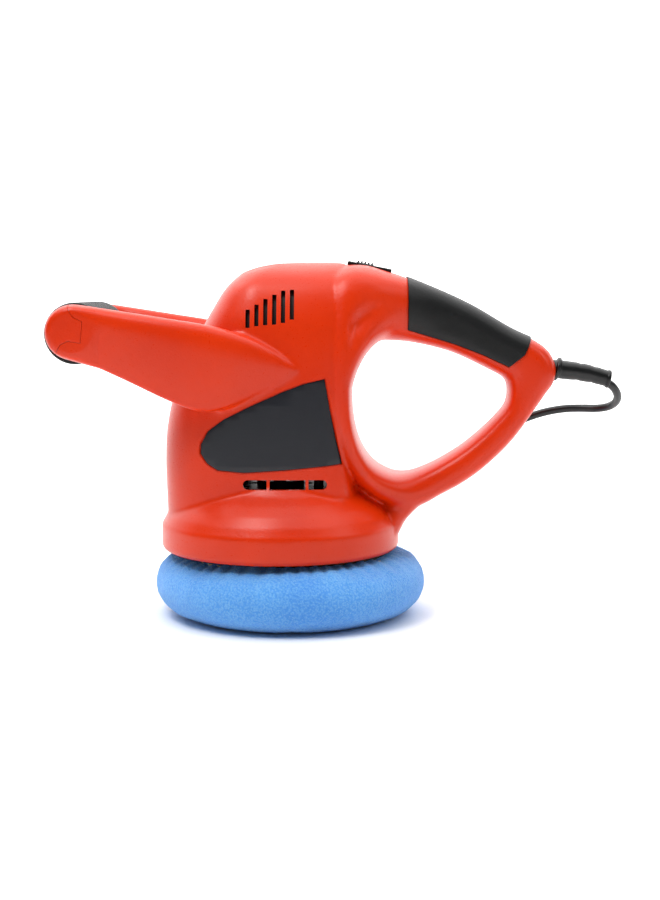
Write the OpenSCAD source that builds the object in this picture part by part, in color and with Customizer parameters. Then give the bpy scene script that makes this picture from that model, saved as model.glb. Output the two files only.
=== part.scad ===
// Random-orbit car polisher with a loop handle at the rear and a bail handle at the front.
// Frame: +Z up along the motor axis, +X towards the loop handle, origin on the floor.

/* [Pad] */
// Diameter of the terry bonnet at its widest
bonnet_d = 169; // [150:1:205]
// Thickness of the terry bonnet
bonnet_t = 3; // [2:0.5:5]
// Thickness of the backing plate
plate_t = 4; // [3:0.5:5]
// Height of the gathered hem above the backing plate
hem_h = 2.5; // [2.2:0.1:3]
// Offset of the pad axis from the motor axis
orbit = 6.35; // [4:0.05:8]

/* [Housing] */
// Width of the motor body
body_w = 96; // [92:1:116]
// Diameter of the skirt over the pad
skirt_d = 149.4; // [140:0.2:180]
// Gap between the pad's hem and the skirt's rim
rim_gap = 3; // [2:0.5:5]
// Wall of the housing halves
wall = 2.5; // [2:0.1:3]
// Depth of the pockets for the grip and the name plates
pocket = 2; // [1.5:0.1:2.5]
// Clearance at the edge of a piece set into a pocket
seat_gap = 0.3; // [0.1:0.1:0.5]

/* [Handles] */
// Width of the rear handle
grip_w = 34; // [30:1:40]
// Diameter of the front handle's rubber sleeve
bar_d = 35; // [32:1:38]
// How far the sleeve stands proud of the arms' round ends
sleeve_lip = 1.2; // [0:0.1:2]
// Diameter of the tube inside the sleeve
core_d = 29; // [26:1:30]
// Thickness of each arm of the front handle
arm_t = 14; // [12:1:16]

/* [Motor] */
// Diameter of the motor shaft
shaft_d = 8; // [6:0.1:9.6]
// Outer diameter of the stator
stator_d = 72; // [66:1:76]
// Diameter of the armature core
armature_d = 32; // [26:0.5:34]
// Air gap between armature and stator
air_gap = 0.5; // [0.3:0.1:1]
// Outer diameter of the ball bearings
bearing_d = 22; // [20:0.5:26.4]
// Width of each ball bearing
bearing_w = 7; // [6:0.5:8]
// Diameter of the cooling fan
fan_d = 56; // [46:1:58]

/* [Switch] */
// Length of the switch bezel
bezel_l = 28; // [24:1:34]
// Width of the switch bezel
bezel_w = 16; // [13:1:20]
// Travel of the switch slider
switch_travel = 6; // [4:0.5:7]

/* [Cord] */
// Diameter of the mains lead
cord_d = 5.2; // [4.5:0.1:6.2]
// Turns beside each other in the coil
coil_columns = 3; // [2:1:4]
// Layers of turns in the coil
coil_layers = 4; // [2:1:5]

/* [Hidden] */

skirt_r = skirt_d / 2;
bonnet_r = bonnet_d / 2;
cord_r = cord_d / 2;
sliver = 0.02;
far = 400;

// Heights of the pad, and the rim over it
plate_z = 32;
pad_h = plate_z + plate_t + hem_h;
rim_z = pad_h + rim_gap;

// Posts that carry the stator stand outside the fan, and the motor body goes round them
stator_r = stator_d / 2;
post_r = 3;
post_at = max(stator_r - 1.5, fan_d / 2 + post_r + 0.5);
frame_r = post_at + post_r + 0.5;
motor_gap = 1;
body_rear = frame_r + 4;
half_w = max(body_w / 2, frame_r + wall + motor_gap);

// Motor body: height, front and share of the half width of each level
barrel_levels = [
    [84, -72.2, 0.96], [100, -72.4, 1], [125, -70.5, 1], [150, -63.5, 0.98], [172, -53.5, 0.94],
    [190, -43.5, 0.89], [203, -35.5, 0.8], [212, -26.5, 0.66], [218, -13, 0.46], [221, 8, 0.2]
];
corner_r = 12;
crease_z = 56;
crease_in = 1.5;

// Loop handle: x, z, radius in side view and half width of each station
grip_half = grip_w / 2;
loop_stations = [
    [24, 197, 23, 30], [42, 197.5, 22.5, 27], [62, 194.5, 22, 23], [86, 189.5, 18.5, grip_half + 1],
    [113, 180, 16, grip_half], [138, 166.5, 14.5, grip_half], [157, 156.5, 17, grip_half],
    [151, 130, 8.5, grip_half], [124, 100.5, 9.5, grip_half + 1], [97, 84, 10, grip_half + 4],
    [83, 77.5, 11, 24], [70, 78, 9, 28], [53, 88.5, 7, 33], [41, 115, 6.5, 36],
    [38.5, 137, 6.5, 37], [39, 155, 8, 36], [42, 175, 10, 32]
];
loop_edge = 6;
side_depth = 14;

// Front handle: x, bottom, top, and how far its side stands outside the motor body
bar_x = -121.6;
bar_z = 177;
arm_out = 12;
cap_t = 10;
arm_y = half_w + arm_out;
arm_stations = [
    [-100, 156, 192, arm_out], [-63, 137, 186, arm_out], [-48, 131.5, 184, 10.5],
    [-34, 133, 180, 8.5], [-10, 143, 171, 4.5], [12, 154, 158, -2]
];

// Inner pieces, from the floor up
boss_top = 44;
hub_z = 46;
pocket_z = 48;
shaft_z = pocket_z + 2 * bearing_w + 3;
hub_top = shaft_z + 7;
frame_z = hub_top + 2;
lower_bearing_z = frame_z + 2;
fan_z = frame_z + 16;
stack_z = 112;
stack_h = 28;
stack_top = stack_z + stack_h;
commutator_z = 150;
commutator_h = 14;
commutator_r = 9;
upper_frame_z = 166;
upper_bearing_z = 168;
shaft_r = shaft_d / 2;
bearing_r = bearing_d / 2;
race_t = (bearing_r - shaft_r) * 0.32;
pitch_r = (bearing_r + shaft_r) / 2;
ball_r = 2;
ball_gap = 0.15;
balls = 7;
leg_r = 4;
leg_at = 37;
screw_r = 1.5;
stator_screw_turn = 18.4;
stator_screw_at = (stator_r - 3.1) * [cos(stator_screw_turn), sin(stator_screw_turn)];
carbon = [6, 6];
carbon_l = 14;
carbon_z = 153.5;
holder_t = 1;

// Screws that join the housing halves: x, z and depth of the head's seat
housing_screw_at = [[-56, 100, 20], [-46, 160, 20], [58, 182, 12], [163, 164.5, 8], [104, 87, 8]];
boss_r = 4.2;
head_r = 3.4;
head_h = 2.4;

// Switch on the top of the handle
switch_at = [56, 0, 217.2];
switch_tilt = 11;
window_l = bezel_l - 9;
window_w = bezel_w - 7;
slider_l = window_l - switch_travel - 2;
slider_x = -window_l / 2 + slider_l / 2 + 1;

// Grip and name plate outlines, x and z
grip_outline = [
    [80, 216], [80, 179], [92, 175.5], [110, 170], [127, 163.5], [143, 156], [152.5, 163.5],
    [158.5, 176], [150, 190]
];
plate_outline = [
    [28, 150], [31.3, 131], [34.5, 115], [38.5, 98.5], [4, 95.2], [-20.7, 93.6], [-36.8, 94.9],
    [-43.3, 98.9], [-47.2, 104.6], [-47, 110.2], [-42.5, 118.3], [-32.8, 125.6], [-16.6, 133.7],
    [3.6, 142.6], [15.8, 147.1]
];
vent_bottoms = [181, 182, 182.6, 183, 184, 186];
vent_tops = [192, 195, 198.4, 201, 203.5, 204];
vent_x = -18.4;
vent_step = 5.35;
vent_w = 2.6;

// Strain relief: x, z and radius of each station along its droop
relief_stations = [
    [171, 154, 5.8], [180, 153.3, 5.7], [189, 152, 5.1], [198, 149.6, 4.5], [205, 146.8, 4]
];

// Route of the lead from the strain relief to the coil
lead_points = [
    [205, 0, 146.8], [210.8, 2.4, 143], [214.8, 7.5, 138.4], [216.4, 14, 133.8], [215.4, 21.3, 130],
    [211.8, 28, 127.4], [206, 33, 126.2], [197, 36.8, 126], [186, 39.2, 125.4], [172, 41, 122.6],
    [156, 42.6, 116.5], [140, 44.6, 106.5], [124, 47.6, 94.8], [110, 52, 83], [97, 57.4, 71],
    [85, 64, 57], [75, 71.4, 41], [67, 79.4, 24.4], [60, 88, 11.4], [53.4, 97, 4.6],
    [47.6, 107, 3], [43, 118, 3], [40, 129, 3.2]
];
coil_at = [0, 140];
coil_mid_r = 33;
coil_lift = 0.8;
coil_out_r = coil_mid_r + coil_columns * cord_r;
coil_in_r = coil_mid_r - coil_columns * cord_r;
coil_top = coil_lift + coil_layers * cord_d;
tail_points = [
    [-33.6, 158.4, 18.8], [-38.2, 149.6, 17.6], [-42.6, 141.2, 13.8], [-46.6, 133.4, 9.2],
    [-50.6, 126, 7]
];
plug_at = [-50.6, 126, 7];
plug_turn = 241;
plug_l = 36;
pin_r = 2;
pin_l = 19;
pin_gap = 18.6;

// ---------------------------------------------------------------- shared shapes

module level(i, t) {
    l = barrel_levels[i];
    w = half_w * l[2];
    z = l[0] - (i == len(barrel_levels) - 1 ? t : 0);
    nose = max(w - t, 1);
    c = max(min(corner_r, w - 2) - t, 0.5);
    translate([l[1] + w, 0, z]) cylinder(r = nose, h = sliver, $fn = 48);
    for (s = [-1, 1])
        translate([body_rear - c - t, s * (w - t - c), z]) cylinder(r = c, h = sliver, $fn = 16);
}

module barrel(t) {
    for (i = [0 : len(barrel_levels) - 2])
        hull() {
            level(i, t);
            level(i + 1, t);
        }
}

// An inset skirt also runs out through the open rim
module skirt(t) {
    drop = t > 0 ? 2 : 0;
    translate([0, 0, rim_z - drop]) cylinder(r = skirt_r - 2 - t, h = 4 + drop, $fn = 72);
    hull() {
        translate([0, 0, rim_z]) cylinder(r = skirt_r - 2.4 - t, h = 1, $fn = 72);
        translate([0, 0, rim_z + 2.4]) cylinder(r = skirt_r - t, h = crease_z - rim_z - 2.4, $fn = 72);
    }
    hull() {
        translate([0, 0, crease_z - sliver]) cylinder(r = skirt_r - crease_in - t, h = sliver, $fn = 72);
        level(0, t);
    }
}

module puck(s, t) {
    edge = min(loop_edge, s[2] - 1);
    translate([s[0], 0, s[1]]) rotate([90, 0, 0]) {
        cylinder(r = s[2] - t, h = 2 * (s[3] - edge), center = true, $fn = 20);
        cylinder(r = s[2] - edge * 0.3 - t, h = 2 * (s[3] - edge * 0.3 - t), center = true, $fn = 20);
        cylinder(r = s[2] - edge * 0.75 - t / 2, h = 2 * (s[3] - t), center = true, $fn = 20);
    }
}

module loop(t) {
    n = len(loop_stations);
    for (i = [0 : n - 1])
        hull() {
            puck(loop_stations[i], t);
            puck(loop_stations[(i + 1) % n], t);
        }
}

module arm_slab(s, t) {
    r = arm_t / 2 - t;
    y = half_w + s[3] - arm_t / 2;
    for (z = [s[1] + arm_t / 2, max(s[2] - arm_t / 2, s[1] + arm_t / 2)])
        translate([s[0], y, z]) rotate([0, 90, 0]) cylinder(r = r, h = sliver, $fn = 16);
}

module arm_end(t) {
    translate([bar_x, arm_y - arm_t + t, bar_z]) rotate([-90, 0, 0])
        cylinder(r = bar_d / 2 - t, h = arm_t - 2 * t - 2, $fn = 32);
    translate([bar_x, arm_y - arm_t + t, bar_z]) rotate([-90, 0, 0])
        cylinder(r = bar_d / 2 - 2 - t, h = arm_t - 2 * t, $fn = 32);
}

module arm(t) {
    hull() {
        arm_end(t);
        arm_slab(arm_stations[0], t);
    }
    for (i = [0 : len(arm_stations) - 2])
        hull() {
            arm_slab(arm_stations[i], t);
            arm_slab(arm_stations[i + 1], t);
        }
}

module skin(t) {
    barrel(t);
    skirt(t);
    loop(t);
    arm(t);
    mirror([0, 1, 0]) arm(t);
}

module side_prism(outline, grow) {
    rotate([90, 0, 0]) linear_extrude(far, center = true) offset(delta = grow) polygon(outline);
}

// Outline of the end cap: the round end of the arm and a tongue that reaches into it
cap_edge = bar_x - 2.5;
tongue_l = 9;
tongue_z = bar_z + 1.8;
tongue_h = 13.4;
module cap_zone(grow) {
    translate([cap_edge - bar_d, arm_y - cap_t - grow, bar_z - bar_d])
        cube([bar_d + grow, 2 * cap_t, 2 * bar_d]);
    translate([cap_edge - 1, arm_y - cap_t - grow, tongue_z - tongue_h / 2 - grow])
        cube([tongue_l + 1 + grow, 2 * cap_t, tongue_h + 2 * grow]);
}

module plate_zone(grow) {
    difference() {
        side_prism(plate_outline, grow);
        cube([far, body_w - 2 * side_depth, far], center = true);
    }
}

module grip_zone(grow) {
    side_prism(grip_outline, grow);
}

module switch_frame() {
    translate(switch_at) rotate([0, switch_tilt, 0]) children();
}

module vents() {
    for (i = [0 : len(vent_tops) - 1])
        translate([vent_x + i * vent_step - vent_w / 2, -far / 2, vent_bottoms[i]])
            cube([vent_w, far, vent_tops[i] - vent_bottoms[i]]);
}

slot_x = [-21.3, 29.6];
slot_z = 86.2;
slot_h = 6;
slot_ribs = [-6, 17.5];
module air_slots() {
    difference() {
        rotate([90, 0, 0]) linear_extrude(far, center = true) hull()
            for (x = slot_x)
                translate([x - sign(x) * slot_h / 2, slot_z]) circle(d = slot_h, $fn = 16);
        for (x = slot_ribs)
            translate([x - 1, -far / 2, slot_z - slot_h]) cube([2, far, 2 * slot_h]);
    }
}

// One shelf inside the motor body that carries a frame of the motor
module shelf(z, r_in, h) {
    intersection() {
        barrel_and_skirt(wall / 2);
        difference() {
            translate([0, 0, z]) cylinder(r = 75, h = h, $fn = 48);
            translate([0, 0, z - 1]) cylinder(r = r_in, h = h + 2, $fn = 48);
            translate([-far / 2, -16, z - 1]) cube([far, 32, h + 2]);
        }
    }
}

module barrel_and_skirt(t) {
    barrel(t);
    skirt(t);
}

module bosses() {
    for (s = housing_screw_at)
        intersection() {
            skin(wall / 2);
            translate([s[0], 0, s[1]]) rotate([90, 0, 0])
                cylinder(r = boss_r + 0.8, h = far / 2, center = true, $fn = 20);
        }
}

module screw_holes() {
    for (s = housing_screw_at) translate([s[0], 0, s[1]]) rotate([90, 0, 0]) {
        cylinder(r = screw_r + 0.3, h = 2 * s[2] + 2, center = true, $fn = 16);
        translate([0, 0, -far / 2 - s[2]]) cylinder(r = head_r + 0.4, h = far / 2, $fn = 20);
    }
}

relief_r = relief_stations[0][2];
module relief_hole() {
    translate([160, 0, 154]) rotate([0, 90, 0]) cylinder(r = relief_r + 0.2, h = 30, $fn = 24);
}

module switch_hole() {
    switch_frame() translate([-bezel_l / 2 + 1.5, -bezel_w / 2 + 1.5, -20])
        cube([bezel_l - 3, bezel_w - 3, 40]);
    switch_frame() translate([-bezel_l / 2 - 0.1, -bezel_w / 2 - 0.1, 0])
        cube([bezel_l + 0.2, bezel_w + 0.2, 20]);
}

module housing() {
    difference() {
        union() {
            difference() {
                skin(0);
                difference() {
                    skin(wall);
                    plate_zone(wall);
                    grip_zone(wall);
                }
                skin(pocket + wall);
                difference() {
                    plate_zone(seat_gap);
                    skin(pocket);
                }
                difference() {
                    grip_zone(seat_gap);
                    skin(pocket);
                }
            }
            shelf(frame_z - 2, leg_at + leg_r + 0.6, 2);
            bosses();
            intersection() {
                translate([bar_x, 0, bar_z]) rotate([90, 0, 0])
                    cylinder(d = core_d, h = 2 * (arm_y - cap_t), center = true, $fn = 32);
                translate([-far, -arm_y, 0]) cube([2 * far, 2 * arm_y, far]);
            }
        }
        translate([bar_x, 0, bar_z]) rotate([90, 0, 0])
            cylinder(d = core_d - 2 * wall, h = 2 * (arm_y - cap_t) - 4, center = true, $fn = 32);
        cap_zone(seat_gap);
        mirror([0, 1, 0]) cap_zone(seat_gap);
        vents();
        air_slots();
        screw_holes();
        relief_hole();
        switch_hole();
    }
}

module half(side) {
    intersection() {
        housing();
        translate([-far / 2, side < 0 ? -far : 0, 0]) cube([far, far, far]);
    }
}

// ---------------------------------------------------------------- housing pieces

module housing_left() {
    color("OrangeRed") half(-1);
}

module housing_right() {
    color("OrangeRed") half(1);
}

module name_plate(side) {
    intersection() {
        plate_zone(0);
        difference() {
            skin(0.6);
            skin(pocket);
        }
        translate([-far / 2, side < 0 ? -far : 0, 0]) cube([far, far, far]);
    }
}

module name_plate_left() {
    color("DarkSlateGray") name_plate(-1);
}

module name_plate_right() {
    color("DarkSlateGray") name_plate(1);
}

module rear_grip() {
    color("#222222") difference() {
        intersection() {
            grip_zone(0);
            loop(0);
        }
        skin(pocket);
    }
}

module front_sleeve() {
    color("#222222") translate([bar_x, 0, bar_z]) rotate([90, 0, 0]) difference() {
        cylinder(d = bar_d + 2 * sleeve_lip, h = 2 * (arm_y - arm_t - seat_gap), center = true, $fn = 64);
        cylinder(d = core_d + 0.1, h = far, center = true, $fn = 64);
    }
}

module handle_cap() {
    intersection() {
        hull() {
            arm_end(0);
            arm_slab(arm_stations[0], 0);
        }
        cap_zone(0);
    }
}

module handle_cap_right() {
    color("OrangeRed") handle_cap();
}

module handle_cap_left() {
    color("OrangeRed") mirror([0, 1, 0]) handle_cap();
}

module housing_screws() {
    color("Silver") for (s = housing_screw_at) translate([s[0], s[2], s[1]]) rotate([90, 0, 0])
        difference() {
            union() {
                cylinder(r = screw_r, h = 2 * s[2], $fn = 24);
                translate([0, 0, -head_h]) cylinder(r = head_r, h = head_h, $fn = 24);
            }
            for (a = [0, 90]) rotate(a)
                translate([-2, -0.4, -head_h - 1]) cube([4, 0.8, 2]);
        }
}

shroud_z = rim_z + 1.2;
shroud_t = 2.3;
shroud_r = skirt_r - wall - 2.4 - seat_gap;
hub_r = bearing_r + 3;
slot_count = 24;
slot_from = 46;
module bottom_shroud() {
    color("#222222") translate([0, 0, shroud_z]) difference() {
        cylinder(r = shroud_r, h = shroud_t, $fn = 96);
        translate([0, 0, -1]) cylinder(r = orbit + hub_r + 6, h = shroud_t + 2, $fn = 64);
        for (a = [45 : 90 : 315]) rotate(a)
            translate([leg_at, 0, -1]) cylinder(r = screw_r + 0.2, h = shroud_t + 2, $fn = 24);
        for (i = [0.5 : slot_count]) rotate(i * 360 / slot_count)
            translate([slot_from, -1.5, -1]) cube([shroud_r - 9.5 - slot_from, 3, shroud_t + 2]);
    }
}

module shroud_screws() {
    color("Silver") for (a = [45 : 90 : 315]) rotate(a) translate([leg_at, 0, shroud_z]) {
        translate([0, 0, -1.1]) cylinder(r = 3, h = 1.1, $fn = 24);
        translate([0, 0, -0.5]) cylinder(r = screw_r, h = 10, $fn = 24);
    }
}

// ---------------------------------------------------------------- motor, fixed pieces

module lower_frame() {
    leg_z = shroud_z + shroud_t;
    color("#3A3A3A") difference() {
        union() {
            translate([0, 0, frame_z]) cylinder(r = leg_at + leg_r + 2.5, h = 5, $fn = 96);
            translate([0, 0, frame_z]) cylinder(r = bearing_r + 4, h = bearing_w + 3, $fn = 64);
            for (a = [45 : 90 : 315]) rotate(a) {
                translate([leg_at, 0, leg_z]) cylinder(r = leg_r, h = frame_z - leg_z + 1, $fn = 32);
                translate([post_at, 0, frame_z])
                    cylinder(r = post_r, h = stack_z - frame_z - 2, $fn = 32);
            }
            translate([0, 0, stack_z - 4]) difference() {
                cylinder(r = frame_r, h = 4, $fn = 96);
                translate([0, 0, -1]) cylinder(r = stator_r - 4.2, h = 6, $fn = 96);
            }
        }
        translate([0, 0, frame_z - 1]) cylinder(r = bearing_r - 2, h = 20, $fn = 64);
        translate([0, 0, lower_bearing_z]) cylinder(r = bearing_r, h = 20, $fn = 64);
        for (a = [45 : 90 : 315]) rotate(a)
            translate([leg_at, 0, leg_z - 1]) cylinder(r = screw_r, h = 12, $fn = 24);
        for (sx = [-1, 1], sy = [-1, 1])
            translate([sx * stator_screw_at[0], sy * stator_screw_at[1], stack_z - 6])
                cylinder(r = screw_r, h = 8, $fn = 24);
        for (a = [0 : 45 : 315]) rotate(a)
            translate([24, 0, frame_z - 1]) cylinder(r = 4, h = 7, $fn = 24);
    }
}

wire_notch_r = 2.8;
module upper_frame() {
    color("#3A3A3A") difference() {
        union() {
            translate([0, 0, upper_frame_z]) cylinder(r = stator_r - 1, h = 3, $fn = 96);
            translate([0, 0, upper_frame_z]) cylinder(r = bearing_r + 3.5, h = bearing_w + 4, $fn = 64);
            for (sx = [-1, 1], sy = [-1, 1])
                translate([sx * stator_screw_at[0], sy * stator_screw_at[1], stack_top])
                    cylinder(r = post_r - 0.2, h = upper_frame_z - stack_top + 1, $fn = 32);
        }
        translate([0, 0, upper_frame_z - 1]) cylinder(r = bearing_r - 2, h = 20, $fn = 64);
        translate([0, 0, upper_bearing_z]) cylinder(r = bearing_r, h = 20, $fn = 64);
        for (sx = [-1, 1], sy = [-1, 1])
            translate([sx * stator_screw_at[0], sy * stator_screw_at[1], stack_top - 1])
                cylinder(r = screw_r, h = 40, $fn = 24);
        for (a = [0 : 90 : 270]) rotate(a)
            translate([20.5, 0, upper_frame_z - 1]) cylinder(r = 3.6, h = 5, $fn = 24);
        for (s = [-1, 1])
            translate([7, s * 36.2, upper_frame_z - 1]) cylinder(r = wire_notch_r, h = 5, $fn = 24);
    }
}

coil_x = [17, 23];
coil_y = [armature_d / 2, armature_d / 2 + 5];
coil_end = 6;
module field_coil(grow) {
    difference() {
        translate([-coil_x[1] - grow, coil_y[0] - grow, stack_z - coil_end])
            cube([2 * (coil_x[1] + grow), coil_y[1] - coil_y[0] + 2 * grow, stack_h + 2 * coil_end]);
        translate([-coil_x[0] + grow, coil_y[0] - 1 - grow, stack_z])
            cube([2 * (coil_x[0] - grow), coil_y[1] - coil_y[0] + 2 + 2 * grow, stack_h]);
    }
}

module stator_core() {
    color("LightSlateGray") difference() {
        translate([0, 0, stack_z]) cylinder(r = stator_r, h = stack_h, $fn = 96);
        translate([0, 0, stack_z - 1]) cylinder(r = armature_d / 2 + air_gap, h = stack_h + 2, $fn = 96);
        for (s = [-1, 1], m = [0, 1]) mirror([0, m, 0])
            translate([s * (coil_x[0] + coil_x[1]) / 2 - 3.2, coil_y[0] - 0.2, stack_z - 1])
                cube([6.4, coil_y[1] - coil_y[0] + 0.4, stack_h + 2]);
        for (sx = [-1, 1], sy = [-1, 1])
            translate([sx * stator_screw_at[0], sy * stator_screw_at[1], stack_z - 1])
                cylinder(r = screw_r, h = stack_h + 2, $fn = 24);
    }
}

module field_coils() {
    color("Peru") for (m = [0, 1]) mirror([0, m, 0]) field_coil(0);
}

module stator_screws() {
    top = upper_frame_z + 3;
    color("Silver") for (sx = [-1, 1], sy = [-1, 1])
        translate([sx * stator_screw_at[0], sy * stator_screw_at[1], 0]) {
            translate([0, 0, stack_z - 4]) cylinder(r = screw_r, h = top - stack_z + 4, $fn = 24);
            translate([0, 0, top]) cylinder(r = 2.8, h = 2, $fn = 24);
        }
}

module each_brush() {
    for (m = [0, 1]) mirror([0, m, 0])
        translate([0, commutator_r + 0.15, carbon_z + carbon[1] / 2]) children();
}

holder_l = 21;
module brush_holders() {
    color("DarkGoldenrod") each_brush() {
        difference() {
            translate([-carbon[0] / 2 - holder_t, 3, -carbon[1] / 2 - holder_t])
                cube([carbon[0] + 2 * holder_t, holder_l, carbon[1] + 2 * holder_t]);
            translate([-carbon[0] / 2, 0, -carbon[1] / 2]) cube([carbon[0], holder_l + 2, carbon[1]]);
        }
        translate([-carbon[0] / 2, 3 + holder_l - 5, carbon[1] / 2 + holder_t])
            cube([carbon[0], 5, upper_frame_z - carbon_z - carbon[1] - holder_t]);
    }
}

module carbon_brushes() {
    color("#333333") each_brush()
        translate([-carbon[0] / 2, 0, -carbon[1] / 2]) cube([carbon[0], carbon_l, carbon[1]]);
}

module brush_springs() {
    color("Silver") each_brush() translate([0, carbon_l, 0]) rotate([-90, 0, 0]) difference() {
        cylinder(r = 2.6, h = holder_l + 2 - carbon_l, $fn = 24);
        translate([0, 0, -1]) cylinder(r = 1.9, h = 20, $fn = 24);
    }
}

module capacitor() {
    color("Gold") translate([stator_r - 14, -6, commutator_z]) cube([14, 12, 14]);
}

// ---------------------------------------------------------------- rotor

module ring(r_in, r_out, z, h) {
    translate([0, 0, z]) difference() {
        cylinder(r = r_out, h = h, $fn = 64);
        translate([0, 0, -1]) cylinder(r = r_in, h = h + 2, $fn = 64);
    }
}

module groove(z) {
    translate([0, 0, z + bearing_w / 2]) rotate_extrude($fn = 64)
        translate([pitch_r, 0]) circle(r = ball_r + ball_gap, $fn = 32);
}

module inner_race(z) {
    difference() {
        ring(shaft_r, shaft_r + race_t, z, bearing_w);
        groove(z);
    }
}

module outer_race(z) {
    difference() {
        ring(bearing_r - race_t, bearing_r, z, bearing_w);
        groove(z);
    }
}

// Balls with the ring of the cage that joins them
module ball_set(z) {
    translate([0, 0, z + bearing_w / 2]) {
        for (i = [0 : balls - 1]) rotate(i * 360 / balls)
            translate([pitch_r, 0, 0]) sphere(r = ball_r, $fn = 32);
        difference() {
            cylinder(r = pitch_r + 0.5, h = 1, center = true, $fn = 64);
            cylinder(r = pitch_r - 0.5, h = 2, center = true, $fn = 64);
        }
    }
}

module lower_outer_race() {
    color("Silver") outer_race(lower_bearing_z);
}

module lower_inner_race() {
    color("Silver") inner_race(lower_bearing_z);
}

module lower_balls() {
    color("Gainsboro") ball_set(lower_bearing_z);
}

module upper_outer_race() {
    color("Silver") outer_race(upper_bearing_z);
}

module upper_inner_race() {
    color("Silver") inner_race(upper_bearing_z);
}

module upper_balls() {
    color("Gainsboro") ball_set(upper_bearing_z);
}

module each_pad_bearing() {
    for (i = [0, 1]) translate([orbit, 0, i * bearing_w]) children();
}

module pad_outer_races() {
    color("Silver") each_pad_bearing() outer_race(pocket_z);
}

module pad_inner_races() {
    color("Silver") each_pad_bearing() inner_race(pocket_z);
}

module pad_balls() {
    color("Gainsboro") each_pad_bearing() ball_set(pocket_z);
}

module motor_shaft() {
    color("Silver") translate([0, 0, shaft_z])
        cylinder(r = shaft_r, h = upper_bearing_z + bearing_w - shaft_z, $fn = 64);
}

module armature_core() {
    color("LightSlateGray") ring(shaft_r, armature_d / 2, stack_z, stack_h);
}

module armature_windings() {
    color("Peru") {
        ring(shaft_r, armature_d / 2 - 2, stack_z - 7, 7);
        ring(shaft_r, armature_d / 2 - 2, stack_top, 7);
    }
}

module commutator() {
    color("Peru") ring(shaft_r, commutator_r, commutator_z, commutator_h);
}

blades = 11;
module cooling_fan() {
    color("#303030") {
        ring(shaft_r, 9, fan_z, 12);
        ring(8, fan_d / 2, fan_z, 2);
        for (i = [0 : blades - 1]) rotate(i * 360 / blades)
            translate([fan_d / 4 + 2, -0.75, fan_z + 1]) cube([fan_d / 4 - 2.5, 1.5, 9]);
    }
}

weight_r = 31;
module eccentric_hub() {
    color("DimGray") difference() {
        union() {
            translate([orbit, 0, hub_z]) cylinder(r = hub_r, h = shaft_z - hub_z, $fn = 64);
            translate([0, 0, shaft_z - 4]) cylinder(r = 12, h = hub_top - shaft_z + 4, $fn = 64);
            intersection() {
                translate([0, 0, shaft_z - 6]) cylinder(r = weight_r, h = hub_top - shaft_z + 5, $fn = 64);
                translate([-weight_r, -22, hub_z]) cube([weight_r - 6, 44, 40]);
            }
        }
        translate([0, 0, shaft_z]) cylinder(r = shaft_r, h = 20, $fn = 64);
        translate([orbit, 0, pocket_z]) cylinder(r = bearing_r, h = 2 * bearing_w, $fn = 64);
        translate([orbit, 0, hub_z - 1]) cylinder(r = bearing_r - 2, h = 4, $fn = 64);
        translate([orbit, 0, pocket_z]) cylinder(r = bearing_r - 3, h = 2 * bearing_w + 0.6, $fn = 64);
    }
}

// ---------------------------------------------------------------- pad

spindle_flange_r = 7.5;
module pad_spindle() {
    color("Silver") translate([orbit, 0, boss_top]) difference() {
        union() {
            cylinder(r = shaft_r, h = pocket_z + 2 * bearing_w - boss_top - 0.5, $fn = 64);
            cylinder(r = spindle_flange_r, h = pocket_z - boss_top - 0.6, $fn = 64);
            cylinder(r = shaft_r + 1.2, h = pocket_z - boss_top, $fn = 64);
        }
        translate([0, 0, -1]) cylinder(r = 2, h = 13, $fn = 32);
    }
}

module pad_screw() {
    color("Silver") translate([orbit, 0, plate_z]) {
        cylinder(r = 4.5, h = 2.5, $fn = 32);
        cylinder(r = 2, h = boss_top - plate_z + 10, $fn = 32);
    }
}

plate_r = bonnet_r - 14;
module backing_plate() {
    color("#222222") translate([orbit, 0, plate_z]) difference() {
        union() {
            cylinder(r = plate_r, h = plate_t, $fn = 96);
            cylinder(r = 16, h = boss_top - plate_z, $fn = 64);
        }
        translate([0, 0, -1]) cylinder(r = 2, h = 20, $fn = 32);
        translate([0, 0, -1]) cylinder(r = 4.5, h = 3.5, $fn = 32);
    }
}

belly_z = 21.5;
belly_r = 15;
// Points of the pad's side, from the floor side up, inset by t
function pad_side(t, top) = [
    for (a = [-90 : 15 : 60])
        [bonnet_r - belly_r + (belly_r - t) * cos(a),
         belly_z + (a < 0 ? belly_z - t : top - belly_z - t) * sin(a) / (a < 0 ? 1 : sin(60))]
];

foam_top = plate_z;
module foam_pad() {
    side = pad_side(bonnet_t, pad_h);
    color("#D8C060") translate([orbit, 0, 0]) intersection() {
        rotate_extrude($fn = 96) polygon(concat([[9, bonnet_t]], side, [[9, side[len(side) - 1][1]]]));
        translate([0, 0, bonnet_t]) cylinder(r = far, h = foam_top - bonnet_t, $fn = 32);
    }
}

hem_r = plate_r - 7;
hem_hole = 0.8;
elastic_z = plate_z + plate_t + hem_hole + 0.3;
module bonnet() {
    outer = pad_side(0, pad_h);
    inner = pad_side(bonnet_t, pad_h);
    last = inner[len(inner) - 1];
    color("CornflowerBlue") translate([orbit, 0, 0]) rotate_extrude($fn = 96) difference() {
        polygon(concat(
            [[0, 0]], outer, [[hem_r, pad_h - 0.2], [hem_r, last[1]]],
            [for (i = [len(inner) - 1 : -1 : 0]) inner[i]], [[0, bonnet_t]]
        ));
        translate([hem_r + 2.2, elastic_z]) circle(r = hem_hole, $fn = 24);
        translate([0, plate_z]) square([plate_r + 0.1, plate_t]);
    }
}

module bonnet_elastic() {
    color("White") translate([orbit, 0, 0]) rotate_extrude($fn = 96)
        translate([hem_r + 2.2, elastic_z]) circle(r = hem_hole - 0.05, $fn = 24);
}

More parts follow.
